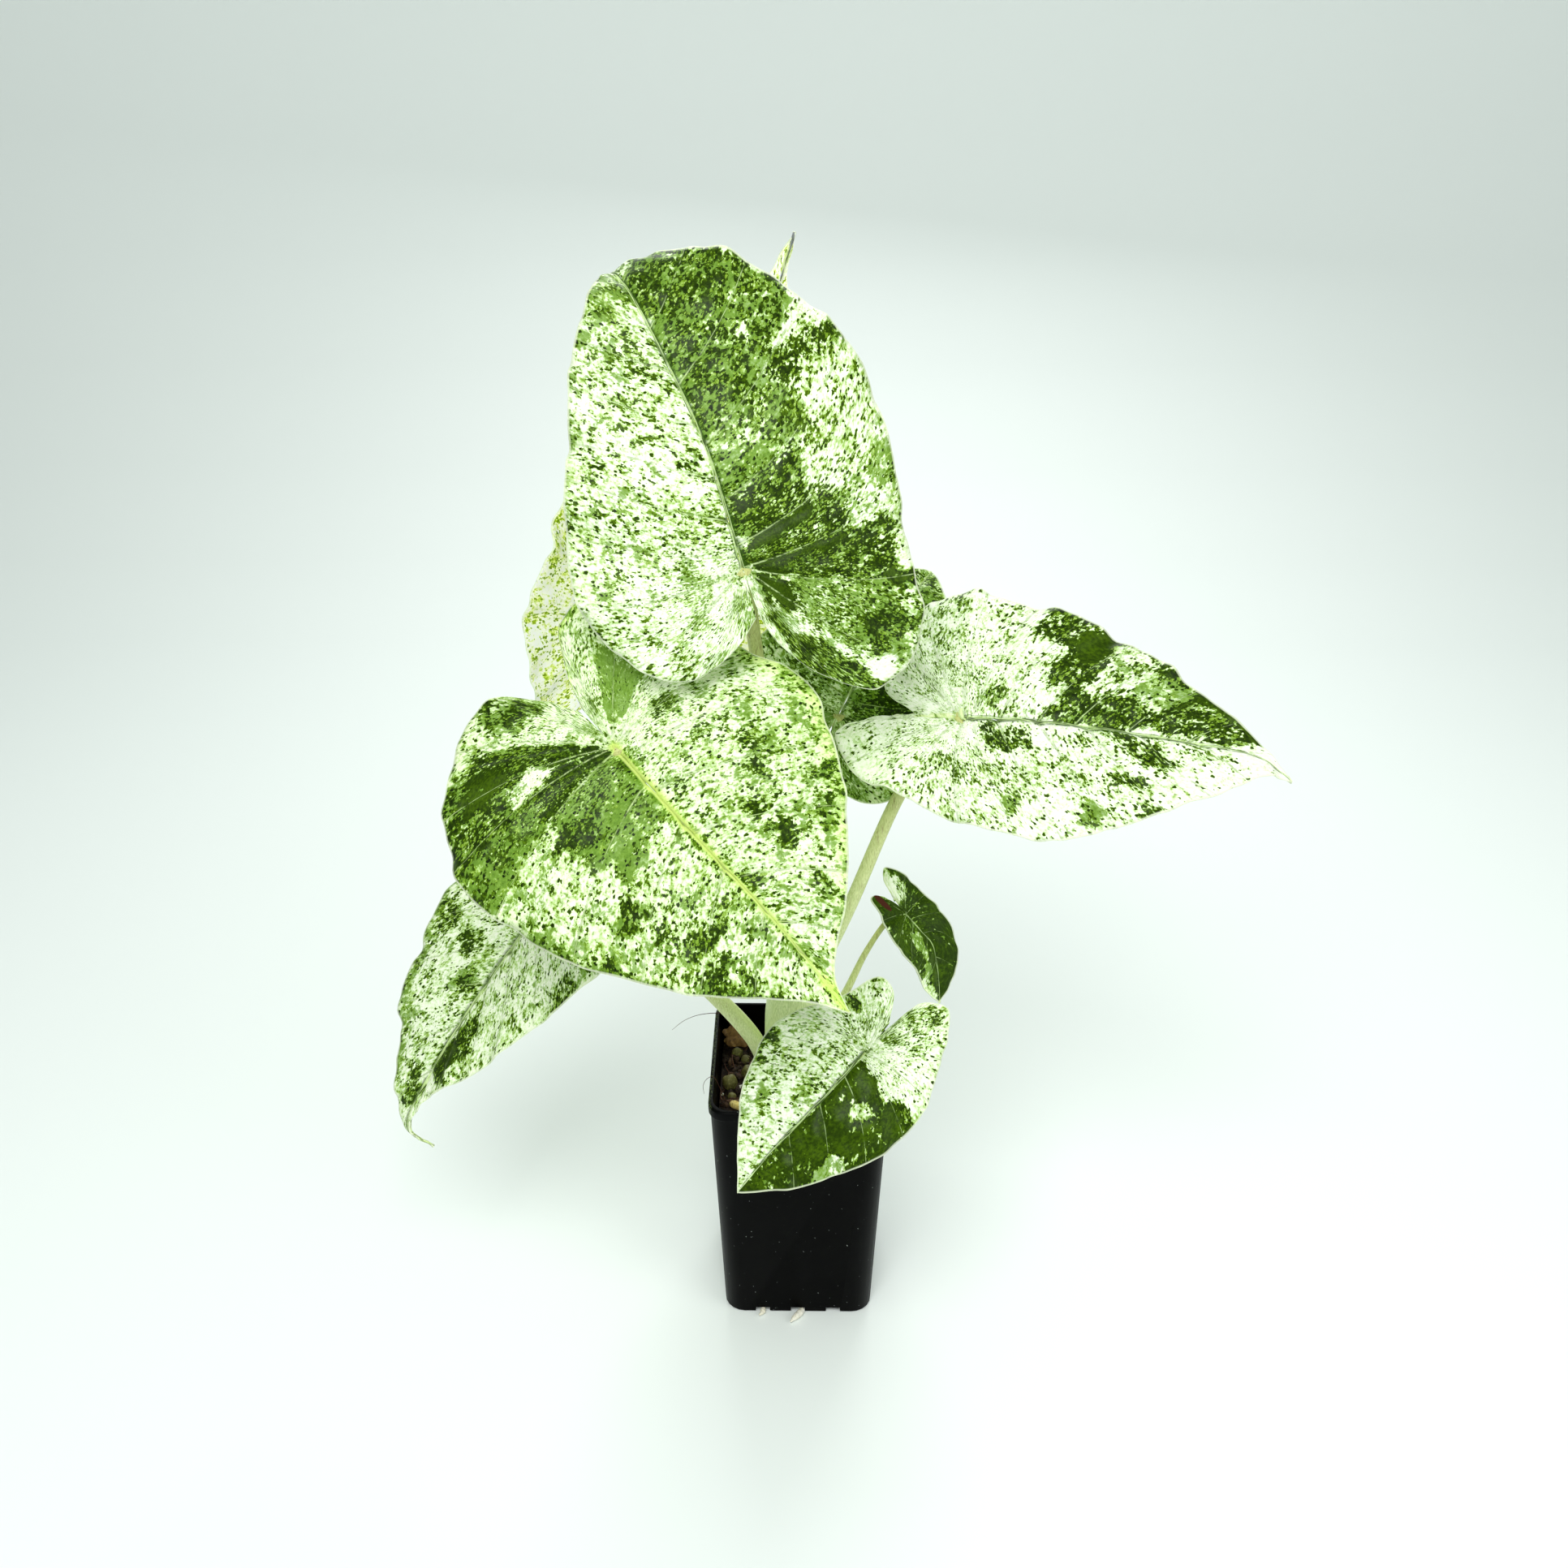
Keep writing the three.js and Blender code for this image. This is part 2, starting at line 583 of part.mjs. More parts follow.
function makeSoil(cutters) {
  const steps = soil.loopPoints / 4 - 1;
  const gap = 2 * (pot.wall + 1.5 * clearance);
  const bodyLoop = (z, width, corner) => roundedSquare(width, corner, z, steps);
  const bottomZ = pot.floor + 2;
  const topWidth = potWidthAt(soil.level) - gap;
  const topCorner = potCornerAt(soil.level) - pot.wall - clearance;
  const loops = [
    bodyLoop(pot.floor + clearance, potWidthAt(0) - gap - 5, pot.baseCorner - pot.wall - 1),
    bodyLoop(bottomZ, potWidthAt(0) - gap - 2, pot.baseCorner - pot.wall - clearance),
  ];
  for (let ring = 0; ring < soil.rings; ring++) {
    const scale = 1 - ring / soil.rings;
    const loop = roundedSquare(topWidth, topCorner, 0, steps);
    for (const point of loop) {
      point.multiplyScalar(scale);
      point.z = soilHeight(point.x, point.y);
      if (ring === 0) point.z = Math.min(point.z, soil.level) - 1;
    }
    loops.push(loop);
  }
  let solid = toSolid(loft(loops));
  for (const cutter of cutters) solid = solid.subtract(cutter);
  return fromSolid(solid);
}

function makeStone([x, y, halfX, halfY, halfZ, turn], seed, grow) {
  const random = mulberry(seed);
  const stone = mergeVertices(bareIcosahedron(), 1e-4);
  const places = stone.attributes.position;
  for (let i = 0; i < places.count; i++) {
    const size = 0.93 + 0.12 * random();
    const point = new THREE.Vector3().fromBufferAttribute(places, i).multiplyScalar(size);
    places.setXYZ(i, point.x * (halfX + grow), point.y * (halfY + grow), point.z * (halfZ + grow));
  }
  stone.rotateZ(THREE.MathUtils.degToRad(turn));
  stone.translate(x, y, soilHeight(x, y) + 0.35 * halfZ);
  stone.computeVertexNormals();
  return stone;
}

function bareIcosahedron() {
  const ball = new THREE.IcosahedronGeometry(1, 1);
  ball.deleteAttribute('normal');
  ball.deleteAttribute('uv');
  return ball;
}

function drawPebbles() {
  const random = mulberry(drawnPebbles.seed);
  const [least, most] = drawnPebbles.sizes;
  const placed = [...seenPebbles, barkChip];
  const scrapMiddle = [-21, 17.5, 5.5];
  const drawn = [];
  while (drawn.length < drawnPebbles.count) {
    const x = (2 * random() - 1) * drawnPebbles.reach;
    const y = (2 * random() - 1) * drawnPebbles.reach;
    const half = least + (most - least) * random();
    const turn = 360 * random();
    const nearStem = Math.hypot(x - stem.centre[0], y - stem.centre[1]) < drawnPebbles.stemClear + half;
    const nearScrap = Math.hypot(x - scrapMiddle[0], y - scrapMiddle[1]) < scrapMiddle[2] + half;
    const crowded = placed.some((p) => Math.hypot(x - p[0], y - p[1]) < half + Math.max(p[2], p[3]) + 0.8);
    if (nearStem || nearScrap || crowded) continue;
    const pebble = [x, y, half, 0.85 * half, 0.8 * half, turn];
    placed.push(pebble);
    drawn.push(pebble);
  }
  return drawn;
}

const plant = new THREE.Group();

function addPiece(name, geometry, color, roughness) {
  const material = new THREE.MeshStandardMaterial({ color, roughness, metalness: 0 });
  const mesh = new THREE.Mesh(geometry, material);
  mesh.name = name;
  plant.add(mesh);
}

const bladeColours = { middle: colours.shadedBlade, young: colours.youngBlade };
const sockets = [];
for (const [name, leaf] of Object.entries(leaves)) {
  addPiece(`blade_${name}`, makeBlade(leaf), bladeColours[name] ?? colours.blade, 0.4);
  addPiece(`stalk_${name}`, stalkShape(leaf, 0), colours.stalk, 0.45);
  sockets.push(stalkShape(leaf, clearance));
}

const { solid: stemSolid, loops: stemLoops } = makeStem(sockets);
addPiece('stem', fromSolid(stemSolid), colours.stem, 0.45);

const stemHole = stemLoops.map((loop) =>
  loop.map((point) => {
    const out = point.clone().sub(new THREE.Vector3(...stem.centre, point.z)).setLength(clearance * 1.2);
    return point.clone().add(out);
  }),
);
stemHole[0].forEach((point) => { point.z -= clearance; });

const stones = [...seenPebbles, ...drawPebbles()];
const cutters = [toSolid(loft(stemHole))];
stones.forEach((stone, i) => {
  addPiece(`pebble_${i + 1}`, makeStone(stone, i + 1, 0), colours.pebble, 0.7);
  cutters.push(toSolid(makeStone(stone, i + 1, clearance * 1.3)));
});
addPiece('bark_chip', makeStone(barkChip, 99, 0), colours.chip, 0.8);
cutters.push(toSolid(makeStone(barkChip, 99, clearance * 1.3)));
addPiece('leaf_scrap', makeBlade(leafScrap), colours.scrap, 0.8);

addPiece('soil', makeSoil(cutters), colours.soil, 0.95);
addPiece('pot', makePot(), colours.pot, 0.35);
for (const [name, root] of Object.entries(rootTips)) {
  addPiece(`root_tip_${name}`, sweep(root.route, root.radii, 8, 8, null), colours.root, 0.5);
}

export default plant;
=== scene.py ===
import random
from math import copysign, cos, dist, exp, hypot, pi, radians, sin, sqrt

import bmesh
import bpy
from mathutils import Matrix, Vector, noise


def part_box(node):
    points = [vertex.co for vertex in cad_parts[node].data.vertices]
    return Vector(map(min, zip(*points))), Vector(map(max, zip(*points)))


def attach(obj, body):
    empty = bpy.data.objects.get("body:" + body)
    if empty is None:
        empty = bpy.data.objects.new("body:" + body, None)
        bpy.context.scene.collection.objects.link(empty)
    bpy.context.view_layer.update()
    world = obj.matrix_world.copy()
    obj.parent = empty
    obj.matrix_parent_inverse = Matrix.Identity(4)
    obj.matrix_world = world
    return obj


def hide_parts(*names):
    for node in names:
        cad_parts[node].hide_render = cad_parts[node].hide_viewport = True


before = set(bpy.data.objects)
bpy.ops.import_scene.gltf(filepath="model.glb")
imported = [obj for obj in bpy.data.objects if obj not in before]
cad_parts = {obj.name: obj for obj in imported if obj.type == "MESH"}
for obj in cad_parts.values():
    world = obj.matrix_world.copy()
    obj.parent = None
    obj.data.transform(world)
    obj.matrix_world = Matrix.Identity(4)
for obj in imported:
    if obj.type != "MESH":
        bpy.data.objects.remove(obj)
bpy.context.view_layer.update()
mm = 0.001

camera = {"focal": 35.78, "sensor": 36, "place": (0, -422, 435.3), "tilt": 61, "turn": 0.72}

lights = {
    "key": {"place": (-110, -560, 880), "aim": (0, 0, 200), "size": 460, "watts": 6.0},
    "fill": {"place": (620, -420, 420), "aim": (0, 0, 180), "size": 480, "watts": 1.7},
    "back": {"place": (60, 620, 620), "aim": (0, 0, 240), "size": 500, "watts": 3.1},
    "sky": {"colour": "#eef6f2", "strength": 0.52},
}

backdrop = {"front": -1300, "rear": 900, "halfWidth": 1500, "height": 1500, "bend": 420}


def same(shares):    # both halves of a leaf alike
    return {"left": shares, "right": shares}


# Leaves in millimetres. rib runs from the stalk to the tip, face is where the upper side
# looks, and left and right are outlines, [along, out] on the flat blade from notch to tip.
# skew leans the blade, fold, curl and the lobe values cup it, and stalk is the petiole's route,
# with a channel on the side that it names. veins are shares of the margin.
# Markings: base is what the whole leaf has of dark, grey-green, mid green and lime. sectors are
# [share of the margin from, to, share of the way out from, to, dark, grey-green, mid green],
# spots [along, across, half sizes, dark, grey-green, mid green], and amounts left out are 0.
# limeEdge has the left and the right margin, limeRib the rib, and scars are brown, [along,
# across, half sizes].
leaves = {}
leaves["top"] = dict(
    rib=[[-16, -30, 284], [-26, -17, 313], [-38, -2, 334], [-47, 10, 347], [-53, 22, 350],
        [-57, 33, 345]],
    face=[0.15, -0.87, 0.48], fold=[9, 8], curl=[26, 24], lobeFold=6, lobeLength=40, lobeDroop=14,
    skew=0.15, waveHeight=2.2, waves=6, wavePhase=[0.6, 2.2], base=[0, 0, 0, 0],
    left=[[-14, 0.6], [-20, 8], [-25, 20], [-21, 31], [-8, 42], [10, 45], [34, 39], [56, 30],
        [73, 21], [86, 10], [97, 3], [108, 0]],
    right=[[-14, 0.6], [-23, 4], [-34, 13], [-42, 28], [-34, 42], [-14, 46], [10, 48], [34, 50],
        [52, 46], [68, 39], [84, 25], [97, 9], [108, 0]],
    stalk=dict(route=[[-0.6, -5, 118], [-0.8, -5.6, 128], [-5, -9, 180], [-11, -14, 235],
        [-14, -20, 264]], radius=[2.5, 2]),
    veins=dict(left=[0.1, 0.22, 0.34, 0.45, 0.54, 0.62, 0.7, 0.78, 0.86, 0.93],
        right=[0.12, 0.24, 0.355, 0.46, 0.545, 0.635, 0.715, 0.79, 0.87, 0.94]),
    sectors=dict(left=[[0.87, 0.95, 0, 1, 0.2, 0.7, 0.5], [0.77, 0.86, 0.6, 1, 0.1, 0.5, 0.3],
        [0.75, 0.84, 0, 0.5, 0.5, 0.2]],
        right=[[0.72, 0.94, 0, 1, 0.85, 0.8, 0.4], [0.63, 0.72, 0, 0.6, 0.5, 0.75, 0.25],
            [0.52, 0.63, 0.02, 0.46, 1.25, 0.4, 0.2], [0.44, 0.54, 0.02, 0.64, 1.2, 0.4, 0.2],
            [0.36, 0.45, 0.02, 0.92, 1.05, 0.4, 0.2], [0.22, 0.36, 0.3, 1, 0.5, 0.65, 0.3],
            [0.07, 0.2, 0.5, 1, 1.1, 0.5, 0.3], [0.2, 0.32, 0, 0.3, 0.8, 0.2],
            [0.54, 0.7, 0.55, 0.95, 0.15, -0.4]]),
    spots=[[-26, 34, 6, 7, 0.6, 0.4, 0.2], [-14, 41, 3, 5, 0.9, 0.4, 0.2], [-10, 6, 8, 4, 1, 0.3],
        [-37, 31, 3.5, 4, -1.5, -1, -0.8], [37, -30, 4, 3, 0.8, 0.3], [31, -6, 4, 4, 0.6, 0.3],
        [46, 29, 5, 5, 0.95, 0.3], [48, 40, 4, 5, 0.85, 0.3], [14, 46, 12, 4, 0.15, 0.7, 0.3],
        [6, 4, 5, 3, -0.3, 0.7, 0.2]])
leaves["front"] = dict(
    rib=[[-51, -46, 238], [-28, -58, 216], [-6, -68, 195], [14, -76, 171]],
    face=[-0.1, -0.7, 0.7], fold=[8, 10], curl=[24, 26], lobeFold=4, lobeLength=40, lobeDroop=24,
    waveHeight=2.4, waves=6, wavePhase=[1.4, 4.1], limeEdge=[0.9, 0.2], limeRib=1.2,
    base=[0.05, 0.1, 0, 0.15],
    left=[[-14, 0.6], [-24, 4], [-37, 12], [-36, 24], [-21, 32], [-2, 43], [11, 49], [25, 52],
        [39, 47], [58, 34], [73, 18], [86, 4], [98, 0]],
    right=[[-14, 0.6], [-24, 7], [-34, 18], [-32, 30], [-24, 38], [-18, 48], [0, 56], [20, 54],
        [40, 45], [68, 27], [87, 8], [98, 0]],
    stalk=dict(route=[[-6.3, -2.9, 118], [-7.6, -4.2, 130], [-20, -16, 172], [-38, -32, 215],
        [-48, -40, 230]], radius=[2.5, 2]),
    veins=dict(left=[0.12, 0.24, 0.34, 0.43, 0.52, 0.615, 0.71, 0.8, 0.88, 0.94],
        right=[0.12, 0.22, 0.32, 0.4, 0.48, 0.6, 0.695, 0.78, 0.86, 0.93]),
    sectors=dict(left=[[0.19, 0.32, 0.15, 0.6, -0.3, 1, 0.65]],
        right=[[0.235, 0.34, 0.1, 0.85, 1.15, 0.4, 0.2], [0.35, 0.475, 0, 0.47, 1.15, 0.4, 0.3],
            [0.28, 0.41, 0.6, 1.1, 0.9, 0.6, 0.3], [0.4, 0.48, 0.5, 1, 0.35, 0.9, 0.8],
            [0.485, 0.6, 0, 0.55, 0.25, 0.9, 0.5], [0.6, 0.66, 0, 0.5, 0.1, 0.7, 0.35],
            [0.1, 0.2, 0.55, 0.95, 0.3, 0.3], [0.78, 0.95, 0.93, 1.1, 0.8, 0.8, 0.5],
            [0.52, 0.7, 0.93, 1.1, 0.3, 0.5, 0.3]]),
    spots=[[-8, 23, 3.5, 4, -1.4, -0.6, -0.4], [11, 24, 3.5, 8, 1, 0.5, 0.2], [8, 12, 3, 3, 0.8],
        [-30, 19, 4, 3, 0.7, 0.4, 0.2], [-24, 13, 4, 6, 0.6, 0.5, 0.3], [37, 28, 4, 5, 0.9, 0.3],
        [45, 24, 4, 4, 0.8, 0.3], [55, 17, 3.5, 7, 1, 0.4], [64, 21, 4, 4, 0.95, 0.4],
        [72, 15, 3, 3, 0.8, 0.3], [20, -7, 3, 3, 0.8], [22, -27, 3, 3, 0.8], [30, -26, 3, 3, 0.7],
        [38, -18, 4, 3, 0.9], [50, -19, 4, 3, 0.9, 0.3], [52, -3, 3, 3, 0.8],
        [53, -31, 4, 4, 0.6, 0.4, 0.2], [41, 43, 4, 3, 0.9, 0.3], [0, -17, 3, 4, 0.6],
        [45, -38, 4, 3, 0.8, 0.2], [66, -17, 5, 3, 0.7, 0.4, 0.1]])
leaves["right"] = dict(
    rib=[[48, -8, 229], [75, -12, 229], [110, -17, 226], [133, -19, 222], [144, -20, 214]],
    face=[0.05, -0.5, 0.86], fold=[14, 10], curl=[18, 22], lobeFold=8, lobeLength=38, lobeDroop=12,
    waveHeight=2, waves=6, wavePhase=[0.2, 3.3], limeEdge=[0, 0], base=[-0.1, -0.35, -0.25, 0],
    left=[[-15, 0.6], [-24, 8], [-22, 22], [-17, 38], [-3, 44], [14, 41], [30, 37], [49, 28],
        [68, 17], [85, 5], [99, 0]],
    right=[[-15, 0.6], [-27, 1.5], [-37, 7], [-33, 18], [-26, 25], [-16, 29], [2, 37], [25, 40],
        [40, 37], [54, 29], [70, 20], [87, 8], [99, 0]],
    stalk=dict(route=[[3.2, -0.3, 118], [4.8, 0, 128], [16, -1, 158], [30, -3, 199],
        [42, -6, 220]], radius=[2.6, 2.1]),
    veins=dict(left=[0.1, 0.16, 0.27, 0.385, 0.47, 0.555, 0.64, 0.7, 0.785, 0.87, 0.94],
        right=[0.1, 0.2, 0.3, 0.41, 0.5, 0.575, 0.66, 0.74, 0.82, 0.9]),
    sectors=dict(left=[[0.5, 0.63, 0.72, 1.1, 1.3, 0.4, 0.1],
        [0.58, 0.66, 0.42, 0.9, 1.25, 0.4, 0.1], [0.635, 0.7, 0, 0.42, 1.1, 0.5, 0.3],
        [0.7, 0.79, 0.02, 0.5, 1.15, 0.6, 0.6], [0.665, 0.7, 0.55, 0.9, 0.9, 0.3, 0.1],
        [0.72, 0.81, 0.55, 1, 0.4, 0.9, 0.6], [0.79, 0.92, 0.1, 1.1, 1.1, 0.4, 0.1],
        [0.6, 0.93, 0.9, 1.15, 1, 0.5, 0.3], [0.94, 1, 0, 1, -1, -1, -0.5]],
        right=[[0.52, 0.63, 0.08, 0.3, 1.15, 0.3], [0.77, 0.825, 0.08, 0.6, 1.1, 0.3],
            [0.92, 1, 0, 1, -1, -1, -0.5], [0.8, 0.93, 0.7, 1.1, -0.4, -0.5, -0.2]]),
    spots=[[32, 6, 6, 2.5, 0.7, 0.4], [48, 18, 7, 3, 0.95, 0.4], [39, 31, 4, 4, 0.5, 1, 0.6],
        [15, 28, 4, 4, 0.6, 0.9, 0.4], [-6, -38, 6, 5, 0.5, 0.4, 0.1], [-8, -27, 3, 3, 0.6],
        [9, -7, 4, 3, 0.7, 0.5, 0.2], [0, 22, 3, 4, 0.6, 0.2], [-6, 17, 3, 3, 0.8, 0.2],
        [56, 26, 4, 2.5, 0.7, 0.3], [46, -25, 5, 4, -1, -0.2], [20, 19, 5, 3, 0.3, 0.6, 0.2]])
leaves["back"] = dict(
    rib=[[-47, 38, 244], [-36, 44, 272], [-22, 50, 306], [-10, 54, 336], [-3, 53, 356]],
    face=[-0.62, 0.76, 0.1], fold=[10, 10], curl=[22, 24], lobeFold=8, lobeLength=38, lobeDroop=14,
    waveHeight=2.2, waves=6, wavePhase=[2.8, 1.1], base=[0.1, -0.1, 0, 0.3],
    left=[[-16, 0.6], [-28, 7], [-38, 18], [-39, 30], [-28, 42], [-8, 48], [16, 49], [42, 42],
        [66, 30], [88, 16], [104, 6], [121, 0]],
    right=[[-16, 0.6], [-27, 8], [-37, 19], [-39, 31], [-27, 42], [-8, 48], [16, 49], [42, 43],
        [66, 31], [88, 17], [104, 6], [121, 0]],
    stalk=dict(route=[[-6.1, 3.2, 118], [-7, 4.6, 130], [-18, 14, 175], [-36, 26, 215],
        [-46, 35, 234]], radius=[2.5, 2]),
    veins=same([0.12, 0.24, 0.36, 0.46, 0.55, 0.64, 0.72, 0.8, 0.88]),
    sectors=dict(left=[[0.3, 0.5, 0.1, 0.8, 0.6, 0.6, 0.2]],
        right=[[0.68, 0.8, 0.1, 0.7, 0.6, 0.5]]),
    spots=[])
# The middle leaf's base is darker than the others': painted shade over the whole blade, for the
# shadow of the leaves in front of it.
leaves["middle"] = dict(
    rib=[[12, 22, 215], [22, 36, 229], [34, 51, 241], [43, 66, 246]],
    face=[0.1, -0.6, 0.8], fold=[9, 9], curl=[20, 20], lobeFold=6, lobeLength=26, lobeDroop=10,
    waveHeight=1.6, waves=5, wavePhase=[0.9, 2.9], base=[0.35, 0.4, 0.2, 0.2],
    left=[[-9, 0.5], [-17, 5], [-22, 14], [-19, 25], [-8, 32], [7, 35], [22, 32], [38, 24],
        [51, 13], [60, 4], [67, 0]],
    right=[[-9, 0.5], [-17, 5], [-23, 14], [-20, 25], [-9, 32], [6, 34], [22, 32], [38, 24],
        [51, 13], [60, 4], [67, 0]],
    stalk=dict(route=[[-0.2, 4.9, 118], [0.4, 5.6, 130], [5, 10, 165], [9, 16, 195],
        [11, 20, 206]], radius=[2.3, 1.8]),
    veins=same([0.12, 0.24, 0.36, 0.46, 0.56, 0.66, 0.76, 0.86]),
    sectors=dict(left=[[0.05, 0.35, 0.1, 0.9, -0.4, 0.5, 0.3]],
        right=[[0.3, 0.8, 0.1, 1.1, 0.8, 0.3, 0.1]]),
    spots=[])
leaves["lowLeft"] = dict(
    rib=[[-74, -4, 168], [-92, -10, 147], [-113, -18, 117], [-128, -22, 91], [-131, -22, 79],
        [-124, -20, 71]],
    face=[-0.4, -0.7, 0.6], fold=[10, 12], curl=[24, 26], lobeFold=8, lobeLength=28, lobeDroop=12,
    waveHeight=1.8, waves=6, wavePhase=[3.6, 0.4], base=[0, -0.05, 0, 0.1],
    left=[[-11, 0.6], [-20, 7], [-26, 17], [-20, 26], [-8, 30], [12, 30], [32, 27], [50, 22],
        [70, 15], [88, 5], [101, 1.5], [120, 0]],
    right=[[-11, 0.6], [-20, 7], [-27, 18], [-22, 29], [-8, 35], [12, 36], [32, 33], [51, 30],
        [66, 26], [80, 18], [92, 11], [104, 3], [120, 0]],
    stalk=dict(route=[[-7, -2, 90], [-11, -6, 97], [-16, -8, 110], [-27, -8, 125], [-48, -6, 147],
        [-66, -4, 162]], radius=[3, 2.1], channel=[0.3, -0.6, 1]),
    veins=same([0.12, 0.24, 0.36, 0.46, 0.55, 0.64, 0.72, 0.8, 0.88]),
    sectors=dict(left=[[0.43, 0.49, 0.8, 1.1, 0.9, 0.4, 0.2]],
        right=[[0.35, 0.85, 0.88, 1.1, 0.1, 0.6, 0.3]]),
    spots=[[37, 26, 5, 5, 0.9, 0.3, 0.2], [37, 14, 5, 4, 0.9, 0.3, 0.1], [50, 6, 4, 4, 0.9, 0.2],
        [46, 7, 4, 3, 0.3, 0.7, 0.5], [65, -5, 9, 4, 1.2, 0.4, 0.2], [76, -3, 8, 4, 1.2, 0.4, 0.2],
        [90, 3, 9, 3.5, 1, 0.4, 0.2], [85, -1, 4, 3, -1.5, -0.5, -0.3]])
leaves["small"] = dict(
    rib=[[20, -42, 130], [7, -51, 119], [-8, -57, 104], [-19, -62, 91]],
    face=[0.12, -0.68, 0.72], fold=[16, 12], curl=[30, 24], lobeFold=8, lobeLength=24,
    lobeDroop=12, waveHeight=1.3, waves=5, wavePhase=[0.5, 4.4], base=[-0.02, -0.15, 0, 0],
    left=[[-12, 0.5], [-24, 3], [-28, 10], [-22, 15], [-13, 20], [0, 25], [13, 26], [28, 21],
        [44, 13.5], [53, 6], [57.5, 1.8], [61, 0]],
    right=[[-12, 0.5], [-20, 6], [-20, 13], [-11, 16], [-4, 19], [7, 25.5], [20, 26], [34, 20],
        [47, 9.5], [54, 3.8], [57.5, 1.3], [61, 0]],
    stalk=dict(route=[[1, -4, 92], [5, -10, 100], [11, -21, 113],
        [17, -34, 124]], radius=[2.4, 1.5]),
    veins=dict(left=[0.1, 0.2, 0.31, 0.42, 0.53, 0.64, 0.74, 0.84],
        right=[0.1, 0.2, 0.32, 0.42, 0.52, 0.62, 0.72, 0.82]),
    sectors=dict(left=[[0.54, 1, 0, 0.35, 1.5, 0.4, 0.2], [0.55, 0.72, 0.3, 0.62, 1.4, 0.6, 0.5],
        [0.49, 0.72, 0.62, 1.1, 1.5, 0.3, 0.1], [0.68, 1, 0.3, 0.75, 1.45, 0.6, 0.5],
        [0.74, 1, 0.75, 1.1, 1.4, 0.5, 0.3], [0.04, 0.28, 0.2, 0.95, 0.4, 0.3],
        [0.3, 0.52, 0.1, 0.95, -0.25, -0.3]],
        right=[[0.5, 0.62, 0.88, 1.1, 1, 0.4, 0.3]]),
    spots=[[14, -11, 2.5, 3, -1.6, -0.6, -0.4], [34, -17, 7, 3.5, -1.6, 0.8, -0.3],
        [22, 6, 5, 3.5, 0.7, 0.4, 0.1], [31, 14, 3.5, 2.5, 0.4, 0.8, 0.6],
        [-9, 13, 2.5, 2.5, 1, 0.4, 0.1], [9, 9, 2, 4, 0.3], [-22, -8, 3, 4, 0.3, 0.2]])
leaves["young"] = dict(
    rib=[[35, 8, 148], [40, 7, 142], [44, 6, 137], [46, 4, 128], [47, 1, 117]],
    face=[0.6, -0.7, 0.4], fold=[14, 14], curl=[20, 20], lobeFold=12, lobeLength=14, lobeDroop=12,
    waveHeight=0.8, waves=4, wavePhase=[1, 2], limeEdge=[0.3, 0.7], base=[1.5, 0.5, 0.5, 0],
    scars=[[-9, 4, 4, 1.2]],
    left=[[-5, 0.5], [-12, 2], [-16, 6], [-9, 9], [2, 10], [12, 10], [21, 8.5], [29, 5], [35, 0]],
    right=[[-5, 0.5], [-11, 2.5], [-13, 6], [-7, 8], [3, 11], [15, 11], [25, 8.5], [31, 5],
        [35, 0]],
    stalk=dict(route=[[3, 3, 94], [7, 6, 101], [15, 9, 114], [22, 10, 131],
        [29, 11, 143]], radius=[1.6, 1]),
    veins=same([0.15, 0.3, 0.45, 0.58, 0.7, 0.82]),
    sectors=dict(left=[[0.04, 0.2, 0.3, 1.1, -1.6, -0.6, -0.3]],
        right=[[0.78, 0.95, 0.6, 1.1, -1.6, -0.4, -0.3]]),
    spots=[[-9, -2, 5, 4, -1.6, -0.8, -0.5], [9, 4, 4, 2.5, -1.5, 0.6, 0.2],
        [15, 5, 3, 2, -1.7, -0.4], [22, 6, 3, 3, -1.2, 0.3]])

bladeForm = {
    "fanRays": 70, "sideRays": 84, "rows": 26,    # rays fan from the stalk, then leave the rib
    "shoulder": 0.06, "veinLag": 1.8, "veinBow": 0.22,
    "veinHalf": 0.3,    # this line and the next two are mm, first the relief of the upper side
    "skin": 0.25, "valley": 0.5, "groove": 0.6, "quilt": 0.45, "puff": 0.9, "ruffle": 0.3,
    "thin": 0.42, "thick": 0.62, "ridge": 0.45, "keel": 1.5,
    "limeShare": 0.86,    # of the length and of the way out, where a lime tip or edge starts
}
curveSteps = {"rib": 120, "margin": 400}    # samples along these lines
stalkForm = {"groove": 0.3, "width": 0.26, "facets": 0.015, "flare": 0.3, "flareFrom": 0.94}
sheathForm = {"gap": 0.25, "skin": 0.45, "wave": 0.35, "droop": 9, "narrow": 0.22}
crumbForm = {"least": 0.35, "more": 1.25, "coarse": 0.9, "rough": 0.5, "perlite": 0.025}

# The pot, soil and stem as the frame has them, and how much lies on the soil.
pot = {"topWidth": 59, "wall": 1.2}
soil = {"level": 82, "crown": 3, "relief": 1.3, "crumbs": 1500, "roots": 60}
stem = {"centre": [-2, 0], "top": 124, "domeFrom": 0.94,
        "loosen": 112, "part": 118,    # where sheaths leave it, and where they follow stalks
        "profile": [[80, 9.6, 9], [86, 9.4, 8.8], [104, 9, 8.6], [118, 8.8, 8.4], [124, 8.3, 8.1]]}
sheaths = {    # from and to height, angle on the stem, half angle that it clasps, how far out
    "front": [88, 136, 226, 118, 0.5], "right": [90, 134, -8, 112, 0.9],
    "back": [92, 136, 140, 100, 0.6], "top": [96, 134, -88, 96, 0.2],
    "middle": [90, 136, 72, 100, 0.3],
}
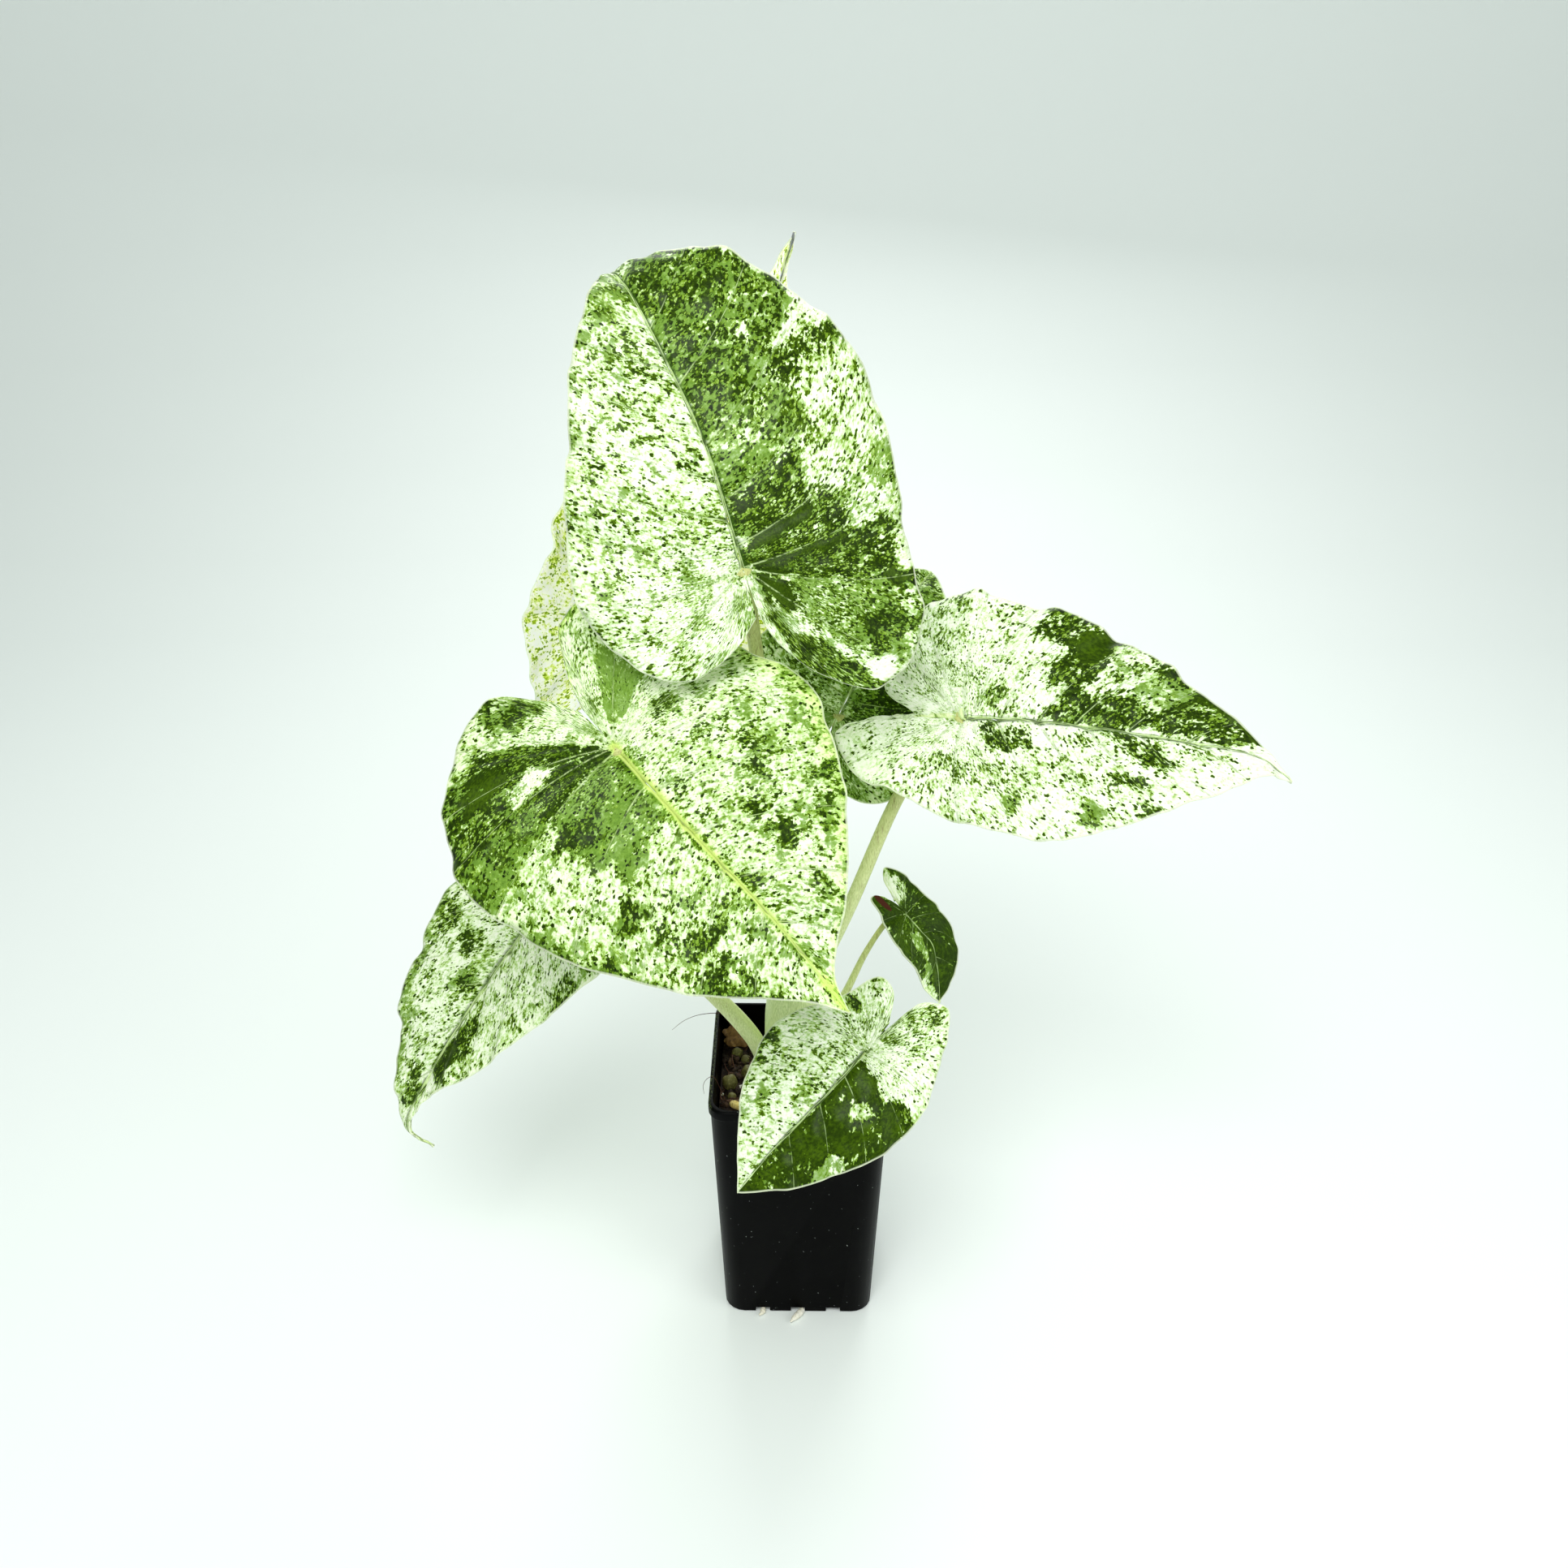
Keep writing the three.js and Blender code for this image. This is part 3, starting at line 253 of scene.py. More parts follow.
leafScrap = dict(
    rib=[[-25, 19.3, 87.7], [-21.5, 18.8, 88.6], [-17.5, 18.8, 87.6], [-14.5, 18.3, 85.2]],
    face=[0.1, -0.5, 0.86], fold=[20, 12], curl=[50, 60], lobeFold=10, lobeLength=4, lobeDroop=0,
    waveHeight=0.6, waves=3, wavePhase=[0, 2], base=[0, 0, 0, 0],
    left=[[-1, 0.4], [-2.5, 2], [0, 4.2], [5, 4.6], [9, 3], [13, 0]],
    right=[[-1, 0.4], [-2, 1.6], [0, 3.4], [5, 4], [9, 2.6], [13, 0]],
    veins=same([0.3, 0.5, 0.7]),
    sectors=same([]),
    spots=[])
rootTips = {    # route and radii in mm
    "root_tip_front": [[[0.8, -22.7, 1.05], [1.4, -26, 1.1], [0.4, -28, 1.35],
                        [-1.6, -30.4, 1.35], [-2.6, -31.6, 1.1]], [0.7, 0.75, 1.2, 1.1, 0.25]],
    "root_tip_left": [[[-12.5, -22.7, 1.05], [-12.4, -26, 1.1], [-12.8, -27.6, 1.15],
                       [-13.8, -28.6, 1]], [0.7, 0.75, 1, 0.3]],
}

# Two hair roots that have grown over the left rim.
rimHairs = (
    [[-22, 21, 86], [-27, 22.5, 94.5], [-30, 22, 96], [-36, 20, 96.6], [-41, 18, 95.5],
     [-45, 16, 93]],
    [[-25, -12, 85], [-28.3, -13, 95.4], [-30.6, -13.5, 96], [-32.2, -14, 93.5], [-32, -14.5, 90]],
)


def linear(hexColour):    # sRGB hex to the linear values that shaders use
    parts = [int(hexColour[i:i + 2], 16) / 255 for i in (1, 3, 5)]
    return [p / 12.92 if p <= 0.04045 else ((p + 0.055) / 1.055) ** 2.4 for p in parts] + [1]


def addNode(where, kind, values=None, links=None, output=0, **settings):
    tree = where.id_data    # where is the tree or a socket in it
    made = tree.nodes.new("ShaderNode" + kind)
    for name, value in settings.items():
        setattr(made, name, value)
    for name, value in (values or {}).items():
        made.inputs[name].default_value = value
    for name, source in (links or {}).items():
        tree.links.new(source, made.inputs[name])
    return made.outputs[output]


def newMaterial(name, roughness, **values):
    material = bpy.data.materials.new(name)
    material.use_nodes = True
    inputs = material.node_tree.nodes["Principled BSDF"].inputs
    inputs["Roughness"].default_value = roughness
    for socket, value in values.items():
        inputs[socket.replace("_", " ")].default_value = value
    return material


def dress(material, colour, height, strength, depth):    # base colour, and fine relief in mm
    bump = addNode(height, "Bump", {"Strength": strength, "Distance": depth * mm},
                   {"Height": height})
    inputs = material.node_tree.nodes["Principled BSDF"].inputs
    for socket, source in (("Base Color", colour), ("Normal", bump)):
        material.node_tree.links.new(source, inputs[socket])
    return material


def attribute(tree, name, output="Vector"):
    return addNode(tree, "Attribute", output=output, attribute_name=name)


def objectPlace(tree):
    return addNode(tree, "TexCoord", output="Object")


def split(vector):
    return addNode(vector, "SeparateXYZ", links={0: vector}).node.outputs


def mapped(vector, scale=(1, 1, 1), shift=(0, 0, 0)):
    return addNode(vector, "Mapping", {"Scale": scale, "Location": shift}, {"Vector": vector})


def mixColours(share, first, second):
    plain, linked = {}, {0: share}
    for index, colour in ((6, first), (7, second)):
        if isinstance(colour, str):
            plain[index] = linear(colour)
        else:
            linked[index] = colour
    return addNode(share, "Mix", plain, linked, 2, data_type="RGBA")


def ramped(source, low, high, top=1):    # 0 at low, top at high, also with low above high
    return addNode(source, "MapRange", {"From Min": low, "From Max": high, "To Max": top},
                   {"Value": source})


def stepAt(source, level, soft):
    return addNode(source, "MapRange", {"From Min": level - soft, "From Max": level + soft},
                   {"Value": source}, interpolation_type="SMOOTHSTEP")


def noiseAt(vector, scale, detail, rough=0.6, twist=0.0):
    return addNode(vector, "TexNoise", {"Scale": scale, "Detail": detail, "Roughness": rough,
                   "Distortion": twist}, {"Vector": vector})


def weighted(parts):    # sum of sources times shares
    total = None
    for source, share in parts:
        links = {0: source} if total is None else {0: source, 2: total}
        kind = "MULTIPLY" if total is None else "MULTIPLY_ADD"
        total = addNode(source, "Math", {1: share}, links, operation=kind)
    return total


def product(*sources):
    total = sources[0]
    for source in sources[1:]:
        total = addNode(total, "Math", links={0: total, 1: source}, operation="MULTIPLY")
    return total


def rest(source):    # one minus the source
    return addNode(source, "MapRange", {"To Min": 1, "To Max": 0}, {"Value": source})


def specksAt(rays, size, shift, level, fields):    # small ovals, each its own size
    place = mapped(rays, (1 / size[0], 1 / size[1], 1), shift)
    bends = addNode(place, "TexNoise", {"Scale": 1.1, "Detail": 2}, {"Vector": place}, 1)
    bent = addNode(place, "VectorMath", {1: (0.9, 0.9, 0.9)}, {0: bends, 2: place},
                   operation="MULTIPLY_ADD")
    cells = addNode(place, "TexVoronoi", {"Scale": 1, "Randomness": 1}, {"Vector": bent}).node
    own = split(cells.outputs["Color"])[0]
    return stepAt(weighted([(own, 1), (cells.outputs["Distance"], -0.8)] + fields), level, 0.09)


def makeBladeMaterial(name, look):
    material = newMaterial(name, look["roughness"], **look["shader"])
    tree, depths = material.node_tree, look["depths"]
    rays, flat, lime = (attribute(tree, "leafPlace"), attribute(tree, "flatPlace"),
                        attribute(tree, "lime", "Fac"))
    tones, (ribGap, veinGap, edgeGap), spot = (
        split(attribute(tree, place)) for place in ("tone", "veins", "flatPlace"))
    spread = ramped(spot[2], 0.14, 0.34)    # 0 where rays crowd at the stalk
    totals, masks = [], []
    for layer, tone in zip(look["layers"], tones):
        along, across = layer["fleck"]
        stretched = mapped(rays, (1 / along, 1 / across, 1), layer["shift"])
        moved = mapped(flat, shift=layer["shift"])
        fleck = addNode(tree, "Mix", links={0: spread, 2: noiseAt(moved, 1 / across, 2),
                                            3: noiseAt(stretched, 1, 2.5, 0.6, 0.3)})
        fields = (fleck, noiseAt(moved, 1 / layer["blotch"], 4, 0.6, 0.2),
                  noiseAt(moved, 1 / layer["cluster"], 1), tone)
        totals.append(weighted(zip(fields, layer["shares"])))
        masks.append(stepAt(totals[-1], layer["level"], layer["soft"]))
    dark, sage, mid = masks
    ground = rest(dark)
    solid = ramped(tones[0], 1.28, 1.42)    # parts of one even green
    specks = specksAt(rays, look["speck"], (7, 3, 0), look["speckLevel"], [(totals[0], 2.2)])
    chips = specksAt(rays, look["chip"], (19, 41, 0), look["chipLevel"],
                     [(noiseAt(flat, 1 / 3, 2), 1.6), (solid, -0.8)])
    mottle = noiseAt(flat, 0.8, 3, 0.65)
    calm = addNode(tree, "Mix", {3: 0.6}, {0: solid, 2: mottle})
    depth = weighted((
        (dark, depths["fleck"]), (product(dark, ramped(tones[0], 0, 1)), depths["deep"]),
        (product(mid, ground), depths["mid"]), (product(sage, ground), depths["sage"]),
        (product(ramped(totals[0], *look["wash"]), ground), depths["wash"]),
        (product(specks, ground, spread), depths["speck"]),
        (product(calm, dark), depths["mottle"]),
        (product(mottle, mid, ground), depths["midMottle"]),
        (product(noiseAt(flat, 0.11, 3, 0.5), solid, dark), depths["solid"]),
        (product(chips, dark, spread), -depths["chip"]), (noiseAt(rays, 1.1, 3), look["grain"])))
    ramp = addNode(tree, "ValToRGB", links={0: depth})
    stops = ramp.node.color_ramp.elements
    while len(stops) < len(look["ramp"]):
        stops.new(0.5)
    for stop, (place, hexColour) in zip(stops, look["ramp"]):
        stop.position = place
        stop.color = linear(hexColour)
    greyed = weighted([(product(sage, ground, rest(specks)), look["greyed"])])
    colour = mixColours(greyed, ramp, look["sageColour"])
    warmth = addNode(tree, "Math", {1: look["lime"]}, {0: lime}, operation="MULTIPLY",
                     use_clamp=True)
    yellow = addNode(tree, "Mix", {0: 1, 7: linear(look["limeTint"])}, {6: colour}, 2,
                     data_type="RGBA", blend_type="MULTIPLY")
    colour = mixColours(warmth, colour, yellow)

    # Painted shade: a dark line down one side of the rib, broken dark lines in the creases beside
    # the side veins, and dark streaks on the rib's flanks, where the folds fall into shade.
    side = ramped(spot[1], look["ribShadeSide"] * -0.2, look["ribShadeSide"])
    ribShade = product(ramped(ribGap, 2.6, 1.2, look["ribShade"]), side,
                   ramped(noiseAt(flat, 0.35, 3), 0.28, 0.48), rest(warmth))
    broken = ramped(noiseAt(rays, 0.3, 3), 0.4, 0.6)
    streaks = ramped(noiseAt(mapped(flat, (0.12, 2.2, 0)), 1, 2), 0.5, 0.58)
    nearRib = ramped(ribGap, 1.5, 0.9, look["ribStreak"])
    veinColour = mixColours(warmth, look["vein"], look["limeVein"])
    for share, paint in (
            (ribShade, look["creaseShadeColour"]),
            (product(ramped(veinGap, 3, 1.4, look["veinCreaseShade"]), broken), look["creaseShadeColour"]),
            (product(ramped(veinGap, 1.1, 0.4, look["sideVein"]), broken), veinColour),
            (ramped(ribGap, look["ribReach"], 0.6, look["mainVein"]), veinColour),
            (product(nearRib, warmth), veinColour),
            (product(nearRib, streaks, rest(warmth)), look["creaseShadeColour"]),
            (ramped(edgeGap, 0.6, 0.25, 0.75), look["edge"]),
            (ramped(lime, 1.3, 1.8), look["scarColour"])):
        colour = mixColours(share, colour, paint)
    return dress(material, colour, noiseAt(rays, 1.8, 3), 0.4, 0.12)


def clamp(value):
    return min(max(value, 0), 1)


def bell(gap, reach):
    return exp(-(gap / reach) ** 2)


def evenCurve(points, count):    # smooth line through the points, evenly spaced, and its length
    knots = [Vector(p) for p in points]
    knots = [2 * knots[0] - knots[1]] + knots + [2 * knots[-1] - knots[-2]]
    steps = 50
    line = []
    for p0, p1, p2, p3 in zip(knots, knots[1:], knots[2:], knots[3:]):
        for step in range(steps):
            s = step / steps
            bent = (2 * p0 - 5 * p1 + 4 * p2 - p3) * s * s + (3 * p1 - p0 - 3 * p2 + p3) * s ** 3
            line.append(0.5 * (2 * p1 + (p2 - p0) * s + bent))
    line.append(knots[-2])
    reached = [0]
    for a, b in zip(line, line[1:]):
        reached.append(reached[-1] + (b - a).length)
    even = []
    at = 0
    for i in range(count + 1):
        wanted = reached[-1] * i / count
        while at < len(line) - 2 and reached[at + 1] < wanted:
            at += 1
        span = max(reached[at + 1] - reached[at], 1e-9)
        even.append(line[at].lerp(line[at + 1], min((wanted - reached[at]) / span, 1)))
    return even, reached[-1]


def framesAlong(line, up):    # place, heading, up and across at each point of a line
    frames = []
    for i, place in enumerate(line):
        along = (line[min(i + 1, len(line) - 1)] - line[max(i - 1, 0)]).normalized()
        up = (up - up.dot(along) * along).normalized()
        frames.append((place, along, up, along.cross(up)))
    return frames


def measure(leaf):
    line, leaf["length"] = evenCurve(leaf["rib"], curveSteps["rib"])
    leaf["frames"] = framesAlong(line, Vector(leaf["face"]))
    leaf["halfWidth"] = max(out for side in ("left", "right") for _, out in leaf[side])


def placeOnLeaf(leaf, a, t):    # a along the rib and t across it, in mm, to a place in space
    frames, length = leaf["frames"], leaf["length"]
    reach = a + leaf.get("skew", 0) * t
    at = clamp(reach / length) * curveSteps["rib"]
    index = min(int(at), curveSteps["rib"] - 1)
    origin, along, up, across = (
        first.lerp(second, at - index) for first, second in zip(frames[index], frames[index + 1]))
    point = origin + along * (max(reach - length, 0) - leaf.get("skew", 0) * t)
    behind = max(-reach, 0)
    if behind > 0:
        droop = radians(leaf["lobeDroop"]) / leaf["lobeLength"]
        turn = droop * behind
        run = sin(turn) / droop if droop else behind
        drop = (1 - cos(turn)) / droop if droop else 0
        point = point - along * run - up * drop
        up = up * cos(turn) - along * sin(turn)
    side = 0 if t < 0 else 1
    out = abs(t)
    lobeShare = min(behind / leaf["lobeLength"], 1)
    start = radians(leaf["fold"][side] * (1 - lobeShare) + leaf["lobeFold"] * lobeShare)
    bend = -radians(leaf["curl"][side]) / leaf["halfWidth"]
    wide = (sin(start + bend * out) - sin(start)) / bend
    high = (cos(start) - cos(start + bend * out)) / bend
    return point + across * copysign(wide, t) + up * high


def marginRays(leaf, side):    # flat place on the margin, and share of the margin, of each ray
    points = [[a, out, 0] for a, out in leaf[side]]
    points[-1][0] = leaf["length"]
    steps = curveSteps["margin"]
    samples, _ = evenCurve(points, steps)
    shoulder = bladeForm["shoulder"] * leaf["length"]
    shoulderAt = max(i for i, p in enumerate(samples) if p.x <= shoulder)
    fan, total = bladeForm["fanRays"], bladeForm["fanRays"] + bladeForm["sideRays"]
    rays = []
    for ray in range(total + 1):
        if ray < fan:
            at = shoulderAt * ray / fan
        else:
            at = shoulderAt + (steps - shoulderAt) * (ray - fan) / (total - fan)
        low = min(int(at), steps - 1)
        margin = samples[low].lerp(samples[low + 1], at - low)
        share = (margin.x - shoulder) / (leaf["length"] - shoulder) if ray > fan else 0
        origin = leaf["length"] * max(share, 0) ** bladeForm["veinLag"]
        rays.append([margin.x, margin.y, origin, at / steps])
    return rays


def softBox(value, low, high, soft):
    return clamp((value - low) / soft + 0.5) * clamp((high - value) / soft + 0.5)


def flatHalf(leaf, side, origins):    # flat places [ray][row] on one half of the blade
    rows = bladeForm["rows"]
    grid = []
    for ray, (a1, t1, _, _) in enumerate(marginRays(leaf, side)):
        chord = hypot(a1 - origins[ray], t1)
        line = []
        for row in range(rows + 1):
            v = (row / rows) ** 1.2
            bow = bladeForm["veinBow"] * chord * v * (1 - v)
            line.append((origins[ray] + (a1 - origins[ray]) * v - bow, v * t1, v))
        grid.append(line)
    return grid


def crowding(flat, ray, row):    # how far apart rays are here, as a share of their spread outside
    beside = flat[ray + 1 if ray < len(flat) - 1 else ray - 1]
    outside = max(dist(flat[ray][-1][:2], beside[-1][:2]), 0.01)
    return min(dist(flat[ray][row][:2], beside[row][:2]) / outside, 1)


def fleckReach(flat):    # length along each ray, longer where the rays crowd, [ray][row]
    reaches = []
    for ray, line in enumerate(flat):
        reach = [0]
        for row in range(1, len(line)):
            crowd = max(crowding(flat, ray, row), 0.06)
            reach.append(reach[-1] + dist(line[row][:2], line[row - 1][:2]) * crowd ** -0.6)
        reaches.append([have - reach[-1] for have in reach])
    return reaches


def veinGaps(flat, shares, rays):    # mm to the nearest vein, [ray][row]
    last = len(flat) - 1
    at = [min(range(last + 1), key=lambda ray: abs(rays[ray][3] - share)) for share in shares]
    gaps = [[0] * len(flat[0]) for _ in flat]
    for row in range(len(flat[0])):
        reached = [0]
        for ray in range(last):
            a, b = flat[ray][row], flat[ray + 1][row]
            reached.append(reached[-1] + hypot(b[0] - a[0], b[1] - a[1]))
        for ray in range(last + 1):
            gaps[ray][row] = min(abs(reached[ray] - reached[i]) for i in at)
    return gaps


def toneAt(leaf, sideName, u, v, a, t, seed):    # dark, grey-green and mid green of a place
    place = Vector((a * 0.22, t * 0.22, seed * 5))
    shake = noise.noise(place), noise.noise(place + Vector((0, 0, 31)))
    tone = leaf["base"][:3]
    for u0, u1, v0, v1, *amounts in leaf["sectors"][sideName]:
        here = softBox(u + 0.012 * shake[0], u0, u1, 0.012)
        here *= softBox(v + 0.12 * shake[1], v0, v1, 0.06)
        tone = [have + here * more for have, more in zip(tone, amounts + [0, 0])]
    for midA, midT, halfA, halfT, *amounts in leaf["spots"]:
        reach = hypot((a + 2.5 * shake[0] - midA) / halfA, (t + 2.5 * shake[1] - midT) / halfT)
        here = clamp((1.15 - reach) / 0.3)
        tone = [have + here * more for have, more in zip(tone, amounts + [0, 0])]
    return tone


def makeBlade(name, leaf, seed, materials, slotName, *nodes):
    measure(leaf)
    form, length = bladeForm, leaf["length"]
    halves = [marginRays(leaf, side) for side in ("left", "right")]
    last = len(halves[0]) - 1
    origins = [(left[2] + right[2]) / 2 for left, right in zip(*halves)]
    origins[last] = length
    size = min(1, length / 80)    # small leaves have slighter veins and relief
    bm = bmesh.new()
    layers = bm.verts.layers
    leafPlace, flatPlace, toneLayer, veinLayer = (
        layers.float_vector.new(layer) for layer in ("leafPlace", "flatPlace", "tone", "veins"))
    limeLayer = layers.float.new("lime")
    group = layers.deform.verify()
    thickest = form["thick"] + form["keel"]
    for side, sideName in enumerate(("left", "right")):
        flat = flatHalf(leaf, sideName, origins)
        reaches = fleckReach(flat)
        gaps = veinGaps(flat, leaf["veins"][sideName], halves[side])
        marginLength = sum(dist(flat[i + 1][-1][:2], flat[i][-1][:2]) for i in range(last))
        made = bmesh.ops.create_grid(bm, x_segments=last, y_segments=form["rows"], size=0.5)
        lifts = {}
        for vert in made["verts"]:
            ray = round((vert.co.x + 0.5) * last)
            row = round((vert.co.y + 0.5) * form["rows"])
            a, out, v = flat[ray][row]
            t = out * (side * 2 - 1)
            u, gap = halves[side][ray][3], gaps[ray][row]
            ribGap = out if a > 0 else hypot(a, out)
            taper = sqrt(max(0, 1 - max(a, 0) / length))

            # Lift of the upper side: waves at the margin, grooves over the veins, quilting between
            phase = 2 * pi * leaf["waves"] * u + leaf["wavePhase"][side]
            fade = min(1, 6 * u, 5 * (1 - u))
            ripple = sin(phase) + 0.4 * sin(2.3 * phase + 1)
            puff = noise.noise(Vector((a * 0.2, t * 0.2, seed * 7.3)))
            crown = min(gap / 4, 1) * (1 - v ** 4)
            relief = form["ruffle"] * sin(3.7 * phase) * fade * v ** 5
            relief -= form["valley"] * bell(gap, 1.1) * (1 - 0.7 * v)
            relief -= form["groove"] * bell(ribGap, 1.5)
            relief += form["quilt"] * crown + form["puff"] * puff * min(v * 4, 1)
            lifts[vert] = (leaf["waveHeight"] * ripple * fade * v * v * 0.7 + form["skin"]
                           + size * relief)
            vert.co = placeOnLeaf(leaf, a, t)

            # What the markings read
            vert[leafPlace] = (reaches[ray][row], (side * 2 - 1) * u * marginLength * 0.75,
                               seed * 11)
            vert[flatPlace] = (a + 300 * seed, t, crowding(flat, ray, row))
            veinHalf = form["veinHalf"] * max(0.04, 1.05 - 1.25 * v) * size
            ribHalf = (0.3 + taper) * size * 0.55
            chord = hypot(flat[ray][-1][0] - origins[ray], flat[ray][-1][1])
            vert[veinLayer] = (min(ribGap / ribHalf, 9), min(gap / veinHalf, 9), (1 - v) * chord)
            vert[toneLayer] = toneAt(leaf, sideName, u, v, a, t, seed)
            start = form["limeShare"]
            tip = max(0, a / length - start) / (1 - start)
            warm = leaf.get("limeEdge", [0.1, 0.1])[side] * max(tip, (v - start) / (1 - start), 0)
            warm += leaf.get("limeRib", 0) * bell(ribGap, 1.6)
            warm *= 1 if tip else 1 - 0.6 * max(a, 0) / length
            vert[limeLayer] = min(leaf["base"][3] + warm, 1)
            for midA, midT, halfA, halfT in leaf.get("scars", []):
                if hypot((a - midA) / halfA, (t - midT) / halfT) < 1 + 0.4 * puff:
                    vert[limeLayer] = 2

            body = form["thin"] + (form["thick"] - form["thin"]) * (1 - v)
            body += form["ridge"] * bell(gap, 0.8) * (1 - v) * size
            if a > -1:
                body += form["keel"] * size * taper * bell(ribGap, 1.6)
            vert[group][0] = min(body / thickest, 1)
        bm.normal_update()
        middle = made["verts"][len(made["verts"]) // 2]
        if middle.normal.dot(leaf["frames"][curveSteps["rib"] // 2][2]) < 0:
            faces = {face for vert in made["verts"] for face in vert.link_faces}
            bmesh.ops.reverse_faces(bm, faces=list(faces))
            bm.normal_update()
        moves = {vert: vert.normal * lift for vert, lift in lifts.items()}
        for vert, move in moves.items():
            vert.co += move
    bmesh.ops.remove_doubles(bm, verts=bm.verts, dist=0.01)
    bmesh.ops.scale(bm, vec=(mm, mm, mm), verts=bm.verts)
    piece = finishPiece(name, bm, materials, slotName, *nodes)
    piece.vertex_groups.new(name="thickness")
    return thicken(piece, thickest, offset=-1, vertex_group="thickness", material_offset=1)


def thicken(piece, thickness, **settings):
    solid = piece.modifiers.new("thickness", "SOLIDIFY")
    solid.thickness = thickness * mm
    for setting, value in settings.items():
        setattr(solid, setting, value)
    return piece


def addObject(name, data, place=(0, 0, 0)):    # place in mm
    made = bpy.data.objects.new(name, data)
    made.location = Vector(place) * mm
    bpy.context.scene.collection.objects.link(made)
    return made


def finishPiece(name, bm, materials, slotName, *nodes):
    mesh = bpy.data.meshes.new(name)
    bm.to_mesh(mesh)
    bm.free()
    for material in materials:
        mesh.materials.append(material)
    mesh.shade_smooth()
    piece = addObject(name, mesh)
    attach(piece, "root")
    if nodes:
        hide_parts(*nodes)
    return piece


def wrapped(bm, around, along, place):    # closed skin from place(angle, share along)
    layer = bm.verts.layers.float_vector.get("stalkPlace")
    made = bmesh.ops.create_grid(bm, x_segments=around, y_segments=along, size=0.5)
    for vert in made["verts"]:
        angle = round((vert.co.x + 0.5) * around) % around * 2 * pi / around
        share = round((vert.co.y + 0.5) * along) / along
        vert.co = place(angle, share)
        if layer:
            vert[layer] = (vert.co.x, vert.co.y, share)
    bmesh.ops.remove_doubles(bm, verts=made["verts"], dist=1e-5)


def addTube(bm, route, radii, around, along, shape=None, lift=(0, 0, 1)):
    frames = framesAlong(evenCurve(route, along)[0], Vector(lift))

    def place(angle, share):
        step = min(max(round(share * (along + 2)) - 1, 0), along)
        point, _, first, second = frames[step]
        if share <= 0 or share >= 1:
            return point
        at = step / along * (len(radii) - 1)
        index = min(int(at), len(radii) - 2)
        radius = radii[index] + (radii[index + 1] - radii[index]) * (at - index)
        if shape:
            radius *= shape(angle, step / along)
        return point + first * radius * cos(angle) + second * radius * sin(angle)

    wrapped(bm, around, along + 2, place)


def closeUp(bm):    # millimetres to metres, faces outward
    bmesh.ops.recalc_face_normals(bm, faces=bm.faces)
    bmesh.ops.scale(bm, vec=(mm, mm, mm), verts=bm.verts)


def soilHeight(x, y):
    reach = hypot(x, y) / (pot["topWidth"] / 2)
    lumps = sin(0.55 * x + 1.3) * cos(0.5 * y - 0.4) + 0.6 * sin(1.1 * x - 0.9 * y)
    return soil["level"] + soil["crown"] * max(0, 1 - reach) + soil["relief"] * lumps * 0.6


def makeStalk(name, leaf, materials, node):
    joint = Vector(leaf["rib"][0]) - leaf["frames"][0][2] * 0.9
    base, tip = leaf["stalk"]["radius"]
    radii = [base, base, (base + tip) / 2, tip, tip]

    def shape(angle, share):
        groove = stalkForm["groove"] * bell(sin(angle / 2), stalkForm["width"])
        start = stalkForm["flareFrom"]
        flare = stalkForm["flare"] * max(0, share - start) / (1 - start)
        facets = stalkForm["facets"] * sin(8 * angle)
        return 1 - groove * (1 - share) ** 0.7 + facets + flare

    bm = bmesh.new()
    bm.verts.layers.float_vector.new("stalkPlace")
    towards = Vector((*stem["centre"], 140)) - joint
    towards = Vector(leaf["stalk"].get("channel", towards))
    addTube(bm, leaf["stalk"]["route"] + [joint[:]], radii, 28, 90, shape, towards)
    closeUp(bm)
    return finishPiece(name, bm, materials, "stalk", node)


def radiusAt(height):
    rows = stem["profile"]
    for (z0, x0, y0), (z1, x1, y1) in zip(rows, rows[1:]):
        if height <= z1:
            share = max(0, (height - z0) / (z1 - z0))
            return x0 + (x1 - x0) * share, y0 + (y1 - y0) * share
    return rows[-1][1:]


def stemShare(height):    # what the skin's colours read on the stem, as if it were a long stalk
    return (height - soil["level"]) / 300


def makeStem(materials):
    bm = bmesh.new()
    low = stem["profile"][0][0]

    def place(angle, share):
        height = low + (stem["top"] - low) * min(share * 1.06, 1)
        halfX, halfY = radiusAt(height)
        dome = clamp((1 - share) / (1 - stem["domeFrom"])) if share > 0 else 0
        ribs = 1 + 0.012 * sin(14 * angle) + 0.008 * sin(23 * angle + 1)
        return Vector((stem["centre"][0] + halfX * ribs * dome * cos(angle),
                       stem["centre"][1] + halfY * ribs * dome * sin(angle),
                       height + 3 * (1 - dome) * (share > 0.5)))

    layer = bm.verts.layers.float_vector.new("stalkPlace")
    wrapped(bm, 64, 60, place)
    for vert in bm.verts:
        vert[layer] = (vert.co.x, vert.co.y, stemShare(vert.co.z))
    closeUp(bm)
    return finishPiece("stem_core", bm, materials, "stem", "stem")


